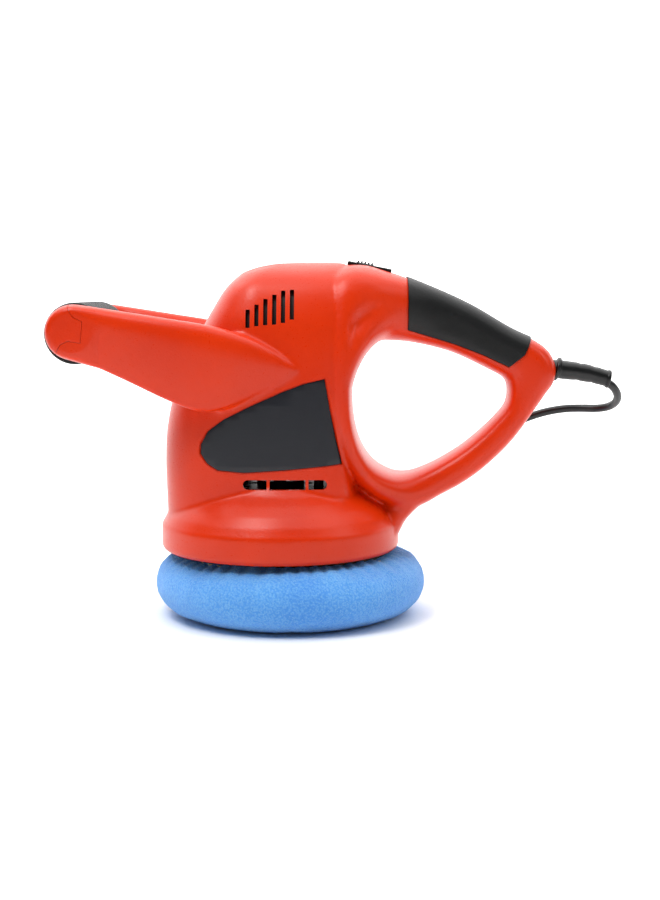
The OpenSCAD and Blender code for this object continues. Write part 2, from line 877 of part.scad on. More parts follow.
// ---------------------------------------------------------------- switch

bezel_t = 2.4;
rib_step = (slider_l - 1.2) / 3.8;
module switch_bezel() {
    color("#222222") switch_frame() difference() {
        union() {
            translate([-bezel_l / 2, -bezel_w / 2, 0]) cube([bezel_l, bezel_w, bezel_t]);
            translate([-bezel_l / 2 + 1.8, -bezel_w / 2 + 1.8, -2])
                cube([bezel_l - 3.6, bezel_w - 3.6, 3]);
        }
        translate([-window_l / 2, -window_w / 2, -10]) cube([window_l, window_w, 20]);
    }
}

module switch_slider() {
    w = window_w - 0.8;
    color("#1A1A1A") switch_frame() translate([slider_x, 0, 0]) {
        translate([-slider_l / 2, -w / 2, -1.6]) cube([slider_l, w, 4.4]);
        for (i = [-1 : 1])
            translate([i * rib_step - 0.6, -w / 2, 2.8]) cube([1.2, w, 1.2]);
        translate([-1.5, -1.5, -5]) cube([3, 3, 4]);
    }
}

module switch_module() {
    l = bezel_l - 4;
    w = bezel_w - 5;
    color("#404040") switch_frame() difference() {
        translate([-l / 2, -w / 2, -17]) cube([l, w, 15]);
        translate([-window_l / 2, -2, -6]) cube([window_l, 4, 10]);
    }
}

// ---------------------------------------------------------------- cord

function unit(v) = v / norm(v);

// Direction of the route at point i
function along(p, i) = unit(p[min(i + 1, len(p) - 1)] - p[max(i - 1, 0)]);

module tube(points, r, sides) {
    n = len(points);
    rings = [
        for (i = [0 : n - 1])
            let (
                d = along(points, i),
                side = unit(cross(d, abs(d[1]) > 0.9 ? [1, 0, 0] : [0, 1, 0])),
                up = cross(side, d)
            )
            for (k = [0 : sides - 1])
                points[i] + r * (cos(k * 360 / sides) * side + sin(k * 360 / sides) * up)
    ];
    walls = [
        for (i = [0 : n - 2], k = [0 : sides - 1])
            let (a = i * sides + k, b = i * sides + (k + 1) % sides)
            [a, b, b + sides, a + sides]
    ];
    polyhedron(
        rings,
        concat(
            walls,
            [[for (k = [sides - 1 : -1 : 0]) k]],
            [[for (k = [0 : sides - 1]) (n - 1) * sides + k]]
        ),
        convexity = 6
    );
}

module strain_relief() {
    color("#202020") {
        for (i = [0 : len(relief_stations) - 2])
            hull() for (s = [relief_stations[i], relief_stations[i + 1]])
                translate([s[0], 0, s[1]]) rotate([0, 90 + (s[0] - 171) * 0.6, 0])
                    cylinder(r = s[2], h = sliver, $fn = 24);
        translate([174.8, 0, 153.8]) rotate([0, 90, 0]) cylinder(r = 7.6, h = 2, $fn = 32);
    }
}

module cord_clamp() {
    color("#303030") translate([160, 0, 148.5]) difference() {
        translate([-4, -9, 0]) cube([8, 18, 2.5]);
        for (s = [-1, 1]) translate([0, s * 6.5, -1]) cylinder(r = 1.3, h = 6, $fn = 24);
    }
}

module clamp_screws() {
    color("Silver") for (s = [-1, 1]) translate([160, s * 6.5, 0]) {
        translate([0, 0, 146]) cylinder(r = 1.3, h = 5, $fn = 24);
        translate([0, 0, 151]) cylinder(r = 2.4, h = 1.4, $fn = 24);
    }
}

module supply_wires() {
    color("Sienna") for (s = [-1, 1])
        tube([[170.6, s * 2, 154], [150, s * 2.4, 158], [132, s * 2.6, 168], [112, s * 2.8, 178],
              [92, s * 2.8, 186], [76, s * 2.8, 192], [70, s * 2.8, 199]], 1.2, 8);
}

module motor_wires() {
    color("Navy") for (s = [-1, 1])
        tube([[44, s * 3, 201], [37, s * 8, 192], [28, s * 17, 182], [20, s * 27, 176],
              [9, s * 35, 170], [2, s * 36.5, 162], [0, s * 36.2, 158]], 1.1, 8);
}

module mains_cord() {
    color("#202020") tube(lead_points, cord_r, 8);
}

module cord_tail() {
    color("#202020") tube(tail_points, cord_r, 8);
}

module cord_coil() {
    color("#202020") translate([coil_at[0], coil_at[1], coil_lift]) difference() {
        cylinder(r = coil_out_r, h = coil_top - coil_lift, $fn = 64);
        translate([0, 0, -1]) cylinder(r = coil_in_r, h = coil_top + 2, $fn = 64);
    }
}

tie_t = coil_lift;
tie_w = 8;
tie_slack = 0.5;
tie_turn = 60;
module cord_tie() {
    color("DimGray") translate([coil_at[0], coil_at[1], 0]) rotate(tie_turn)
        translate([coil_mid_r, 0, 0]) difference() {
            translate([-coil_columns * cord_r - tie_slack - tie_t, -tie_w / 2, 0])
                cube([coil_columns * cord_d + 2 * tie_t + 2 * tie_slack, tie_w, coil_top + tie_t]);
            translate([-coil_columns * cord_r - tie_slack, -tie_w / 2 - 1, tie_t])
                cube([coil_columns * cord_d + 2 * tie_slack, tie_w + 2, coil_top - coil_lift]);
        }
}

module plug_frame() {
    translate(plug_at) rotate(plug_turn) children();
}

module plug_body() {
    color("#202020") plug_frame() {
        hull() {
            translate([0, 0, 0]) rotate([0, 90, 0]) cylinder(r = 4, h = 1, $fn = 32);
            translate([12, 0, 0]) rotate([0, 90, 0]) cylinder(r = 6.2, h = 1, $fn = 32);
        }
        hull() for (s = [-1, 1]) {
            translate([12, s * 4, 0]) rotate([0, 90, 0]) cylinder(r = 6, h = 1, $fn = 32);
            translate([plug_l - 12, s * (pin_gap / 2), 0]) rotate([0, 90, 0])
                cylinder(r = 6.8, h = 12, $fn = 32);
        }
    }
}

module plug_pins() {
    color("Silver") plug_frame() for (s = [-1, 1])
        translate([plug_l, s * pin_gap / 2, 0]) rotate([0, 90, 0]) cylinder(r = pin_r, h = pin_l, $fn = 48);
}

// ---------------------------------------------------------------- nodes

housing_left();
housing_right();
name_plate_left();
name_plate_right();
rear_grip();
front_sleeve();
handle_cap_left();
handle_cap_right();
housing_screws();
bottom_shroud();
shroud_screws();
lower_frame();
upper_frame();
stator_core();
field_coils();
stator_screws();
brush_holders();
carbon_brushes();
brush_springs();
capacitor();
motor_wires();
supply_wires();
motor_shaft();
armature_core();
armature_windings();
commutator();
cooling_fan();
eccentric_hub();
lower_outer_race();
lower_balls();
lower_inner_race();
upper_outer_race();
upper_balls();
upper_inner_race();
pad_outer_races();
pad_balls();
pad_inner_races();
pad_spindle();
pad_screw();
backing_plate();
foam_pad();
bonnet();
bonnet_elastic();
switch_bezel();
switch_slider();
switch_module();
cord_clamp();
clamp_screws();
strain_relief();
mains_cord();
cord_tail();
cord_coil();
cord_tie();
plug_body();
plug_pins();
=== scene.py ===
import math

import bmesh
import bpy
from mathutils import Matrix, Vector, noise


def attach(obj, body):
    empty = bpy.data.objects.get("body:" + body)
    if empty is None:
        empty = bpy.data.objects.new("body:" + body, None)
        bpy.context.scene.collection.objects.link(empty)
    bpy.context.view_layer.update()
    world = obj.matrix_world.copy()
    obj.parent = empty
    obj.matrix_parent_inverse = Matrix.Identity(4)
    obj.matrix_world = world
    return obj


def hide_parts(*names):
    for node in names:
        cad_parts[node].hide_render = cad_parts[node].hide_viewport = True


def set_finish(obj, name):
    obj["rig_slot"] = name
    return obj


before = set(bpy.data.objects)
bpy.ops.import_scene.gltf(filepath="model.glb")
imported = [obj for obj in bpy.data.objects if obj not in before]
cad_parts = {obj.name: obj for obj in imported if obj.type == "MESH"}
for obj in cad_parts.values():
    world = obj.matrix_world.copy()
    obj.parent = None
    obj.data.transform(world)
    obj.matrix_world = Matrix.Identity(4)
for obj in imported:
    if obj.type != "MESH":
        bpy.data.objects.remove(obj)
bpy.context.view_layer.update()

MM = 0.001

# ------------------------------------------------------------------ camera and light

CAMERA_AT = (0.0314, -0.9206, 0.2031)
CAMERA_PITCH = 2.883
CAMERA_LENS = 58.16
CAMERA_SHIFT = -0.095
SENSOR = 36


def make_camera():
    """A camera at eye height above a table, looking slightly down at the polisher's left side."""
    data = bpy.data.cameras.new("camera")
    data.lens = CAMERA_LENS
    data.sensor_width = SENSOR
    data.shift_y = CAMERA_SHIFT
    camera = bpy.data.objects.new("camera", data)
    bpy.context.scene.collection.objects.link(camera)
    camera.location = CAMERA_AT
    camera.rotation_euler = (math.radians(90 - CAMERA_PITCH), 0, 0)
    bpy.context.scene.camera = camera


def area_light(name, at, towards, size, watts):
    """A rectangular soft box, in metres and watts."""
    data = bpy.data.lights.new(name, "AREA")
    data.shape = "RECTANGLE"
    data.size, data.size_y = size
    data.energy = watts
    light = bpy.data.objects.new(name, data)
    light.location = at
    light.rotation_euler = (Vector(towards) - Vector(at)).to_track_quat("-Z", "Y").to_euler()
    bpy.context.scene.collection.objects.link(light)


def make_studio():
    """Pale floor, glowing white backdrop, a wide soft box overhead and a weak one at each side."""
    bm = bmesh.new()
    bmesh.ops.create_grid(bm, x_segments=4, y_segments=4, size=6)
    floor = piece("floor", bm, scale=1)
    floor.location.z = -0.0002
    dress(floor, backdrop_paper())
    world = bpy.data.worlds.new("studio")
    world.use_nodes = True
    world.node_tree.nodes["Background"].inputs["Color"].default_value = (1, 1, 1, 1)
    world.node_tree.nodes["Background"].inputs["Strength"].default_value = 0.12
    bpy.context.scene.world = world
    bpy.context.scene.view_settings.view_transform = "Standard"
    bm = bmesh.new()
    bmesh.ops.create_grid(bm, x_segments=4, y_segments=4, size=4)
    backdrop = piece("backdrop", bm, scale=1)
    backdrop.data.transform(Matrix.Translation((0, 1.3, 3)) @ Matrix.Rotation(math.radians(90), 4, "X"))
    dress(backdrop, glowing_backdrop())
    area_light("overhead_softbox", (-0.1, 0.25, 1.5), (-0.1, 0.25, 0), (3, 2.2), 40)
    area_light("key_softbox", (-0.35, -0.45, 1.05), (0, 0, 0.14), (0.4, 0.4), 5)
    area_light("rim_softbox", (1.1, -0.35, 0.75), (0.05, 0, 0.14), (0.3, 0.5), 1.6)


# ------------------------------------------------------------------ mesh helpers

def piece(name, bm, scale=MM):
    """Turns a bmesh in millimetres into an object in metres."""
    bmesh.ops.remove_doubles(bm, verts=bm.verts, dist=1e-5)
    bmesh.ops.recalc_face_normals(bm, faces=bm.faces)
    bm.transform(Matrix.Scale(scale, 4))
    mesh = bpy.data.meshes.new(name)
    bm.to_mesh(mesh)
    bm.free()
    obj = bpy.data.objects.new(name, mesh)
    bpy.context.scene.collection.objects.link(obj)
    return obj


def settled(obj):
    """Makes the object's modifiers part of its mesh."""
    bpy.context.view_layer.update()
    mesh = bpy.data.meshes.new_from_object(obj.evaluated_get(bpy.context.evaluated_depsgraph_get()))
    old = obj.data
    obj.modifiers.clear()
    obj.data = mesh
    bpy.data.meshes.remove(old)
    return obj


def modify(obj, kind, **settings):
    """Adds one modifier and makes it part of the mesh."""
    modifier = obj.modifiers.new(kind.lower(), kind)
    for key, value in settings.items():
        setattr(modifier, key, value)
    return settled(obj)


def copy_of(obj, name):
    twin = obj.copy()
    twin.data = obj.data.copy()
    twin.name = name
    bpy.context.scene.collection.objects.link(twin)
    return twin


def drop(*objs):
    for obj in objs:
        mesh = obj.data
        bpy.data.objects.remove(obj)
        bpy.data.meshes.remove(mesh)


def carve(obj, tool, how="DIFFERENCE"):
    """Cuts obj with a tool object, which stays."""
    return modify(obj, "BOOLEAN", operation=how, object=tool, solver="MANIFOLD")


def fused(name, objs, voxel, smoothing):
    """One smooth skin over several closed shapes, with a soft fillet wherever they meet."""
    bm = bmesh.new()
    for obj in objs:
        bm.from_mesh(obj.data)
    drop(*objs)
    whole = piece(name, bm, scale=1)
    modify(whole, "REMESH", mode="VOXEL", voxel_size=voxel * MM)
    return modify(whole, "SMOOTH", factor=0.5, iterations=smoothing)


def round_shading(obj, angle=35):
    """Smooth shading that keeps edges sharper than an angle."""
    bm = bmesh.new()
    bm.from_mesh(obj.data)
    for face in bm.faces:
        face.smooth = True
    for edge in bm.edges:
        edge.smooth = len(edge.link_faces) == 2 and edge.calc_face_angle(0) < math.radians(angle)
    bm.to_mesh(obj.data)
    bm.free()
    return obj


def loft(name, rings, closed=False):
    """A closed skin through rings of points, with flat ends, or joined end to end."""
    bm = bmesh.new()
    loops = []
    for ring in rings:
        verts = [bm.verts.new(point) for point in ring]
        loops.append([bm.edges.new((verts[i - 1], verts[i])) for i in range(len(verts))])
        if not closed and ring in (rings[0], rings[-1]):
            bm.faces.new(verts)
    for first, second in zip(loops, loops[1:] + (loops[:1] if closed else [])):
        bmesh.ops.bridge_loops(bm, edges=first + second)
    return piece(name, bm)


def spun(name, profile, centre=(0, 0), steps=96):
    """A closed turned shape from a profile of (radius, height) points that starts and ends on the axis."""
    bm = bmesh.new()
    verts = [bm.verts.new((centre[0] + r, centre[1], z)) for r, z in profile]
    edges = [bm.edges.new(pair) for pair in zip(verts, verts[1:])]
    bmesh.ops.spin(
        bm, geom=verts + edges, cent=(*centre, 0), axis=(0, 0, 1),
        angle=math.tau, steps=steps, use_merge=True,
    )
    return piece(name, bm)


def prism(name, outline, y_from, y_to):
    """A block whose side view is an outline of (x, z) points."""
    bm = bmesh.new()
    face = bm.faces.new([bm.verts.new((x, y_from, z)) for x, z in outline])
    made = bmesh.ops.extrude_face_region(bm, geom=[face])
    verts = [v for v in made["geom"] if isinstance(v, bmesh.types.BMVert)]
    bmesh.ops.translate(bm, vec=(0, y_to - y_from, 0), verts=verts)
    return piece(name, bm)


def block(name, low, high):
    """A plain box between two corners, for cutting and as a start."""
    bm = bmesh.new()
    bmesh.ops.create_cube(bm, size=1)
    size = [b - a for a, b in zip(low, high)]
    middle = [(a + b) / 2 for a, b in zip(low, high)]
    bmesh.ops.scale(bm, vec=size, verts=bm.verts)
    bmesh.ops.translate(bm, vec=middle, verts=bm.verts)
    return piece(name, bm)


def eased(points, steps, closed=False):
    """A smooth run through points of any size, steps to each span."""
    count = len(points)
    run = []
    for i in range(count if closed else count - 1):
        near = [
            points[(i + k) % count] if closed else points[max(0, min(count - 1, i + k))]
            for k in (-1, 0, 1, 2)
        ]
        for s in range(steps):
            t = s / steps
            run.append(tuple(
                0.5 * (2 * b + (c - a) * t + (2 * a - 5 * b + 4 * c - d) * t * t
                       + (3 * b - a - 3 * c + d) * t ** 3)
                for a, b, c, d in zip(*near)
            ))
    return run if closed else run + [tuple(points[-1])]


def oval(width, height, square, count):
    """Points (u, v) of a rounded box; square is 2 for an ellipse and more for a boxier shape."""
    points = []
    for i in range(count):
        c, s = math.cos(math.tau * i / count), math.sin(math.tau * i / count)
        points.append((
            width * math.copysign(abs(c) ** (2 / square), c),
            height * math.copysign(abs(s) ** (2 / square), s),
        ))
    return points


# ------------------------------------------------------------------ materials

def srgb(code):
    """An sRGB hex colour as linear RGBA."""
    parts = [int(code[i:i + 2], 16) / 255 for i in (1, 3, 5)]
    return (*(c / 12.92 if c <= 0.04045 else ((c + 0.055) / 1.055) ** 2.4 for c in parts), 1)


def add(tree, kind, settings=None, **inputs):
    """Adds a shader node; an input is a value, or another node's output to link."""
    made = tree.nodes.new("ShaderNode" + kind)
    for key, value in (settings or {}).items():
        setattr(made, key, value)
    for key, value in inputs.items():
        socket = made.inputs[int(key[1:])] if key[0] == "_" else made.inputs[key.replace("_", " ")]
        if isinstance(value, bpy.types.NodeSocket):
            tree.links.new(value, socket)
        else:
            socket.default_value = value
    return made


def start(name, roughness, metallic=0.0, ior=None, **sockets):
    """A new material with its plain values set, its shader, and its surface position in metres."""
    made = bpy.data.materials.new(name)
    made.use_nodes = True
    tree = made.node_tree
    shader = tree.nodes["Principled BSDF"]
    shader.inputs["Roughness"].default_value = roughness
    shader.inputs["Metallic"].default_value = metallic
    if ior:
        shader.inputs["IOR"].default_value = ior
    for key, value in sockets.items():
        shader.inputs[key.replace("_", " ")].default_value = value
    return made, tree, shader, add(tree, "TexCoord").outputs["Object"]


def grain(tree, place, size, detail=2.0, rough=0.5):
    """Even noise whose spots are about size millimetres across."""
    return add(
        tree, "TexNoise", Vector=place, Scale=1 / (size * MM), Detail=detail, Roughness=rough
    ).outputs["Fac"]


def blend(tree, factor, first, second, low=0.3, high=0.7):
    """Mixes two hex colours by a factor, over the factor's own range."""
    ramp = add(tree, "ValToRGB", Fac=factor)
    for element, at, code in zip(ramp.color_ramp.elements, (low, high), (first, second)):
        element.position = at
        element.color = srgb(code)
    return ramp.outputs["Color"]


def spread(tree, factor, low, high):
    """Maps a factor from 0..1 to low..high."""
    return add(tree, "MapRange", Value=factor, To_Min=low, To_Max=high).outputs["Result"]


def relief(tree, shader, height, depth, strength=1.0):
    """Bump whose full height is depth millimetres."""
    bump = add(tree, "Bump", Height=height, Distance=depth * MM, Strength=strength)
    tree.links.new(bump.outputs["Normal"], shader.inputs["Normal"])


def into(tree, socket, shader, name):
    """Links an output to one of the shader's inputs."""
    tree.links.new(socket, shader.inputs[name])


def moulded(name, light, dark, roughness, size, depth, ior=1.53):
    """A moulded plastic or rubber: a fine spark-eroded grain over very faint flow marks."""
    made, tree, shader, place = start(name, roughness, ior=ior)
    flow = grain(tree, place, 45, 1.0)
    pits = grain(tree, place, size, 3.0, 0.6)
    into(tree, blend(tree, flow, light, dark), shader, "Base Color")
    into(tree, spread(tree, pits, roughness - 0.1, roughness + 0.12), shader, "Roughness")
    relief(tree, shader, pits, depth)
    return made


def moulded_abs():
    """Orange ABS from a spark-eroded mould: satin, with a fine grain that glints in strong light.
    The grain is drawn 1.1 mm wide, coarser than the real 0.2 mm, so that it shows."""
    return moulded("orange_moulded_abs", "#DC3200", "#D22D00", 0.3, 1.1, 0.12, 1.38)


def grip_rubber():
    """Black thermoplastic elastomer moulded over the handle: dull, with a leathery stipple."""
    return moulded("grip_elastomer", "#0F1011", "#0A0B0B", 0.46, 1.4, 0.12, 1.4)


def filled_nylon():
    """Black glass-filled nylon: satin, with the faint mottle of the fibres."""
    return moulded("black_filled_nylon", "#0F1011", "#0A0B0C", 0.4, 0.9, 0.05, 1.42)


def cord_pvc():
    """Soft black PVC of the lead and its plug: smooth and slightly oily."""
    return moulded("black_cord_pvc", "#0F1011", "#0A0B0C", 0.34, 2.2, 0.03, 1.46)


def painted_plate():
    """Slate paint with fine metal flake on a brushed plate: satin, streaked along the brushing."""
    made, tree, shader, place = start("slate_painted_plate", 0.42, 0.1)
    stretched = add(tree, "Mapping", Vector=place, Scale=(0.05, 1, 1)).outputs["Vector"]
    streaks = grain(tree, stretched, 0.8, 2.0)
    flake = grain(tree, place, 0.7, 0.0)
    into(tree, blend(tree, streaks, "#12141D", "#15171F"), shader, "Base Color")
    into(tree, spread(tree, flake, 0.32, 0.52), shader, "Roughness")
    relief(tree, shader, streaks, 0.02)
    return made


def terry_cloth():
    """Blue terry towelling: loops about 1 mm across in soft rows, with a bloom of light at their edge.
    They are drawn close together, with a little fuzz over them. The blue is painted darker where the
    relief is deepest, in the gaps between loops: painted shade."""
    made, tree, shader, place = start(
        "blue_terry_cloth", 0.95, Sheen_Weight=0.6, Sheen_Roughness=0.5,
        Sheen_Tint=srgb("#BFD8FF"), Specular_IOR_Level=0.15,
    )
    loops = add(
        tree, "TexVoronoi", {"feature": "SMOOTH_F1"}, Vector=place, Scale=1 / (1.1 * MM)
    ).outputs["Distance"]
    fuzz = grain(tree, place, 0.7, 3.0, 0.7)
    soft = grain(tree, place, 30, 1.0)
    height = add(tree, "Math", {"operation": "MULTIPLY_ADD"}, _0=fuzz, _1=0.8, _2=loops).outputs[0]
    # painted shade: the blue darkens with the depth of the relief, deepest in the gaps between loops
    deep = blend(tree, height, "#8CD0FF", "#5FA8F6", 0.3, 1.1)
    wash = blend(tree, soft, "#FFFFFF", "#E4ECF8")
    tint = add(tree, "Mix", {"data_type": "RGBA", "blend_type": "MULTIPLY"}, _0=1.0, _6=deep, _7=wash)
    into(tree, tint.outputs[2], shader, "Base Color")
    relief(tree, shader, height, -0.55)
    return made


def open_foam():
    """Yellow open-cell polyurethane foam: matt, pitted with cells about 1 mm across, each pit painted
    darker: painted shade.
    """
    made, tree, shader, place = start("polyurethane_foam", 0.9)
    cells = add(tree, "TexVoronoi", Vector=place, Scale=1 / (1.2 * MM)).outputs["Distance"]
    # painted shade: the colour follows the bump, darker at the bottom of each pit
    into(tree, blend(tree, cells, "#B79C45", "#DCC56C", 0.1, 0.6), shader, "Base Color")
    relief(tree, shader, cells, 0.5)
    return made


def knitted_elastic():
    """White knitted elastic: ribs about 1 mm wide round the cord, with the grooves between them painted
    darker: painted shade.
    """
    made, tree, shader, place = start("knitted_elastic", 0.85)
    ribs = add(tree, "TexWave", Vector=place, Scale=1 / (6 * MM), Distortion=1.5).outputs["Fac"]
    # painted shade: the colour follows the bump, darker in the grooves between ribs
    into(tree, blend(tree, ribs, "#D9D8D2", "#F2F1EC"), shader, "Base Color")
    relief(tree, shader, ribs, 0.2)
    return made


def metal(name, light, dark, roughness, size, depth, stretch=(1, 1, 1)):
    """A metal with the marks of its making: grains, or lathe lines where they are stretched."""
    made, tree, shader, place = start(name, roughness, 1.0)
    drawn = add(tree, "Mapping", Vector=place, Scale=stretch).outputs["Vector"]
    marks = grain(tree, drawn, size, 3.0)
    into(tree, blend(tree, marks, light, dark), shader, "Base Color")
    into(tree, spread(tree, marks, roughness - 0.08, roughness + 0.14), shader, "Roughness")
    relief(tree, shader, marks, depth)
    return made


def turned_steel():
    """Bright turned steel: fine lathe rings along its length."""
    return metal("turned_steel", "#C9CBCE", "#A7AAAE", 0.3, 0.8, 0.02, (0.1, 0.1, 1))


def bearing_steel():
    """Ground and lapped chrome steel: nearly a mirror."""
    return metal("bearing_steel", "#D6D8DA", "#C3C5C8", 0.14, 3, 0.003)


def cast_zinc():
    """Die-cast zinc of the hub: darker and smoother than the frames."""
    return metal("cast_zinc", "#85888C", "#6E7175", 0.45, 1.6, 0.07)


def nickel():
    """Bright nickel plate over brass: a clear, faintly warm gloss."""
    return metal("nickel_plate", "#DAD8D2", "#C9C6BF", 0.16, 2.5, 0.005)


def brass():
    """Rolled brass strip: warm yellow, with rolling lines."""
    return metal("rolled_brass", "#D2AE62", "#BE9748", 0.3, 0.9, 0.01, (1, 0.1, 1))


def commutator_copper():
    """Bare copper run in by its brushes: rings worn round a bright track."""
    return metal("worn_copper", "#C4734A", "#96502F", 0.28, 0.9, 0.03, (0.1, 0.1, 1))


def lamination_steel():
    """Stacked electrical steel: varnished edges of sheets, drawn 1 mm thick so that they show."""
    made, tree, shader, place = start("lamination_steel", 0.5, 0.85)
    sheets = add(
        tree, "TexWave", {"bands_direction": "Z"}, Vector=place, Scale=1 / (6.28 * MM), Distortion=0.3
    ).outputs["Fac"]
    into(tree, blend(tree, sheets, "#5D6066", "#83868B"), shader, "Base Color")
    relief(tree, shader, sheets, 0.12)
    return made


def enamelled_wire():
    """Enamelled copper winding wire: red-brown turns a millimetre apart under clear varnish. The grooves
    between turns are painted darker: painted shade.
    """
    made, tree, shader, place = start("enamelled_wire", 0.3, 0.7, Coat_Weight=0.6, Coat_Roughness=0.1)
    turns = add(
        tree, "TexWave", {"bands_direction": "Z"}, Vector=place, Scale=1 / (6.28 * MM), Distortion=0.8
    ).outputs["Fac"]
    # painted shade: the colour follows the bump, dark brown in the grooves between turns
    into(tree, blend(tree, turns, "#6E2F15", "#B8622F"), shader, "Base Color")
    relief(tree, shader, turns, 0.3)
    return made


def carbon():
    """Pressed carbon of the brushes: matt black with a graphite shimmer."""
    return metal("pressed_carbon", "#3B3C3E", "#232425", 0.6, 0.8, 0.05)


def capacitor_film():
    """Yellow tape round a film capacitor: glossy, faintly wrinkled."""
    return moulded("capacitor_tape", "#E3B532", "#D2A021", 0.3, 5, 0.1)


def wire_sleeve(name, code, dark):
    """Thin PVC insulation of a single wire: glossy and plain."""
    return moulded(name, code, dark, 0.35, 3, 0.02)


def label_film():
    """A blank pale label under clear film: slightly glossy and faintly uneven."""
    return moulded("blank_label_film", "#DEDCD6", "#D2CFC8", 0.3, 6, 0.02)


def glowing_backdrop():
    """Translucent white sheet lit from behind: an even glow with a barely visible weave."""
    made, tree, shader, place = start("glowing_backdrop", 0.9, Emission_Strength=1.0)
    weave = grain(tree, place, 8, 2.0)
    into(tree, blend(tree, weave, "#FBFBFB", "#FFFFFF"), shader, "Emission Color")
    relief(tree, shader, weave, 0.02)
    return made


def backdrop_paper():
    """White seamless paper: matt, with a barely visible tooth."""
    made, tree, shader, place = start("backdrop_paper", 0.9)
    tooth = grain(tree, place, 2.5, 3.0)
    into(tree, blend(tree, tooth, "#F7F7F7", "#FBFBFB"), shader, "Base Color")
    relief(tree, shader, tooth, 0.02)
    return made


# The record's material slot of each material that a modelled piece wears
SLOTS = {
    "orange_moulded_abs": "housing_plastic",
    "grip_elastomer": "grip_rubber",
    "black_filled_nylon": "black_plastic",
    "black_cord_pvc": "cord_rubber",
    "slate_painted_plate": "name_plate_plastic",
    "blue_terry_cloth": "terry_cloth",
    "nickel_plate": "nickel_plate",
}


def stands_for(obj, *nodes, body="housing"):
    """The piece rides on a body and is shown in place of these CAD nodes."""
    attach(obj, body)
    if nodes:
        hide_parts(*nodes)


def dress(obj, material):
    """Gives an object one material all over, and the record's slot that it stands for."""
    obj.data.materials.clear()
    obj.data.materials.append(material)
    slot = SLOTS.get(material.name.split(".")[0])
    if slot and "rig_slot" not in obj:
        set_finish(obj, slot)
    return obj


# ------------------------------------------------------------------ housing shapes, in millimetres

RIM_Z = 41.5
BODY_TOP = 221.2
BODY_MIDDLE = -12
BAR = (-122.4, 178.6)
ARM_Y = 60
ARM_T = 14
SHELL = 2.5

# Motor body: height, front, rear and half width of each level
BODY_LEVELS = [
    (50, -71, 47, 47), (67, -71.4, 47, 47.4), (82, -72, 46, 47.8), (98, -72.4, 44, 48),
    (116, -71.6, 43, 48), (134, -68.4, 43, 47.8), (152, -62.4, 44, 47.2), (170, -54.4, 46, 46),
    (184, -46.9, 46, 44), (195, -40.6, 46, 40.5), (203.6, -35.2, 44, 36.5), (209.6, -29.8, 43, 32),
    (214, -24.4, 42, 27), (217, -17.6, 42, 22), (219.2, -9.6, 42, 16.5), (220.6, 0, 40, 11),
    (BODY_TOP, 12, 36, 6),
]
# Skirt and the cone that flares out of the motor body: radius and height
SKIRT_PROFILE = [
    (0, 41), (71.8, 41), (73.8, 41.7), (74.9, 43.6), (75, 57.3), (73.7, 59.2), (71.4, 63.4),
    (66.6, 69), (60, 74.6), (53, 79.6), (48, 86), (46, 92), (0, 92),
]
# Loop handle: x, z, radius in side view and half width of each station
LOOP = [
    (44, 197.5, 21.5, 36), (62, 194.6, 22, 27), (86, 189.3, 18.7, 18.5), (113, 180, 16, 17),
    (138, 167, 14.6, 17), (152.5, 159.5, 15.2, 17), (157.6, 153.5, 16.6, 17), (157.3, 148.5, 14.2, 16.9),
    (151, 130, 8.8, 16.5), (138.5, 114, 9.2, 16.8), (124, 100.5, 9.6, 17.5), (110.5, 91, 10, 18.5),
    (97, 83.8, 10, 20), (83, 78, 11, 23), (69, 79.5, 9.8, 29), (55, 88, 8.6, 36),
    (46, 101, 7.6, 42), (40.6, 118, 7.2, 46.4), (38.5, 137, 7.2, 47.2), (38.6, 155, 7.6, 47),
    (39, 172, 8.2, 45.6), (39.6, 186, 10, 42),
]
# Fills the corner between the column and the handle
CORNER = [
    (39.5, 150, 7.6, 46.6), (42.5, 159.5, 8, 45), (47.4, 171.4, 10, 41), (55.4, 184, 14, 33),
    (64, 194, 21, 26),
]
# Web that fills the corner between the loop and the skirt
WEB = [(83, 78, 10.6, 20), (72, 64, 8.6, 22), (64, 50, 9.5, 26)]
# Front handle arms: x, bottom, ridge, top and outer side
ARM = [
    (-112, 159.8, 185.5, 194, 60), (-90, 149.6, 180.2, 190.6, 60), (-66, 138.2, 174.4, 186.8, 60),
    (-48, 131.6, 170, 183.9, 58.8), (-34, 132.2, 166.8, 180.8, 57), (-18, 138.6, 163, 175.6, 54.6),
    (-2, 146.6, 159.4, 167.6, 51.4), (9, 152.6, 156.8, 160.2, 48.6), (14, 154.6, 155.8, 157, 46.6),
]


def body_form(inset):
    rings = []
    squeeze = (BODY_TOP - RIM_Z - inset) / (BODY_TOP - RIM_Z)
    for z, front, rear, half in eased(BODY_LEVELS, 4):
        ring = []
        middle = max(BODY_MIDDLE, front + 0.6 * half)
        for (u, v), (p, q) in zip(oval(1, 1, 5.5, 80), oval(1, 1, 2.25, 80)):
            if u > 0:
                ring.append((middle + u * (rear - middle - inset), v * (half - inset)))
            else:
                ring.append((middle + p * (middle - front - inset), q * (half - inset)))
        rings.append([(x, y, RIM_Z + (z - RIM_Z) * squeeze) for x, y in ring])
    return loft("body_form", rings)


def skirt_form(inset):
    """Turned skirt; a hollow one also runs out through the open rim."""
    rows = [(max(0, r - inset), z - (inset if z > RIM_Z else 2 * inset)) for r, z in SKIRT_PROFILE]
    return spun("skirt_form", rows, steps=160)


def hull_into(bm, points):
    verts = [bm.verts.new(point) for point in points]
    made = bmesh.ops.convex_hull(bm, input=verts, use_existing_faces=False)
    loose = {v for v in made["geom_interior"] + made["geom_unused"] if isinstance(v, bmesh.types.BMVert)}
    bmesh.ops.delete(bm, geom=list(loose), context="VERTS")


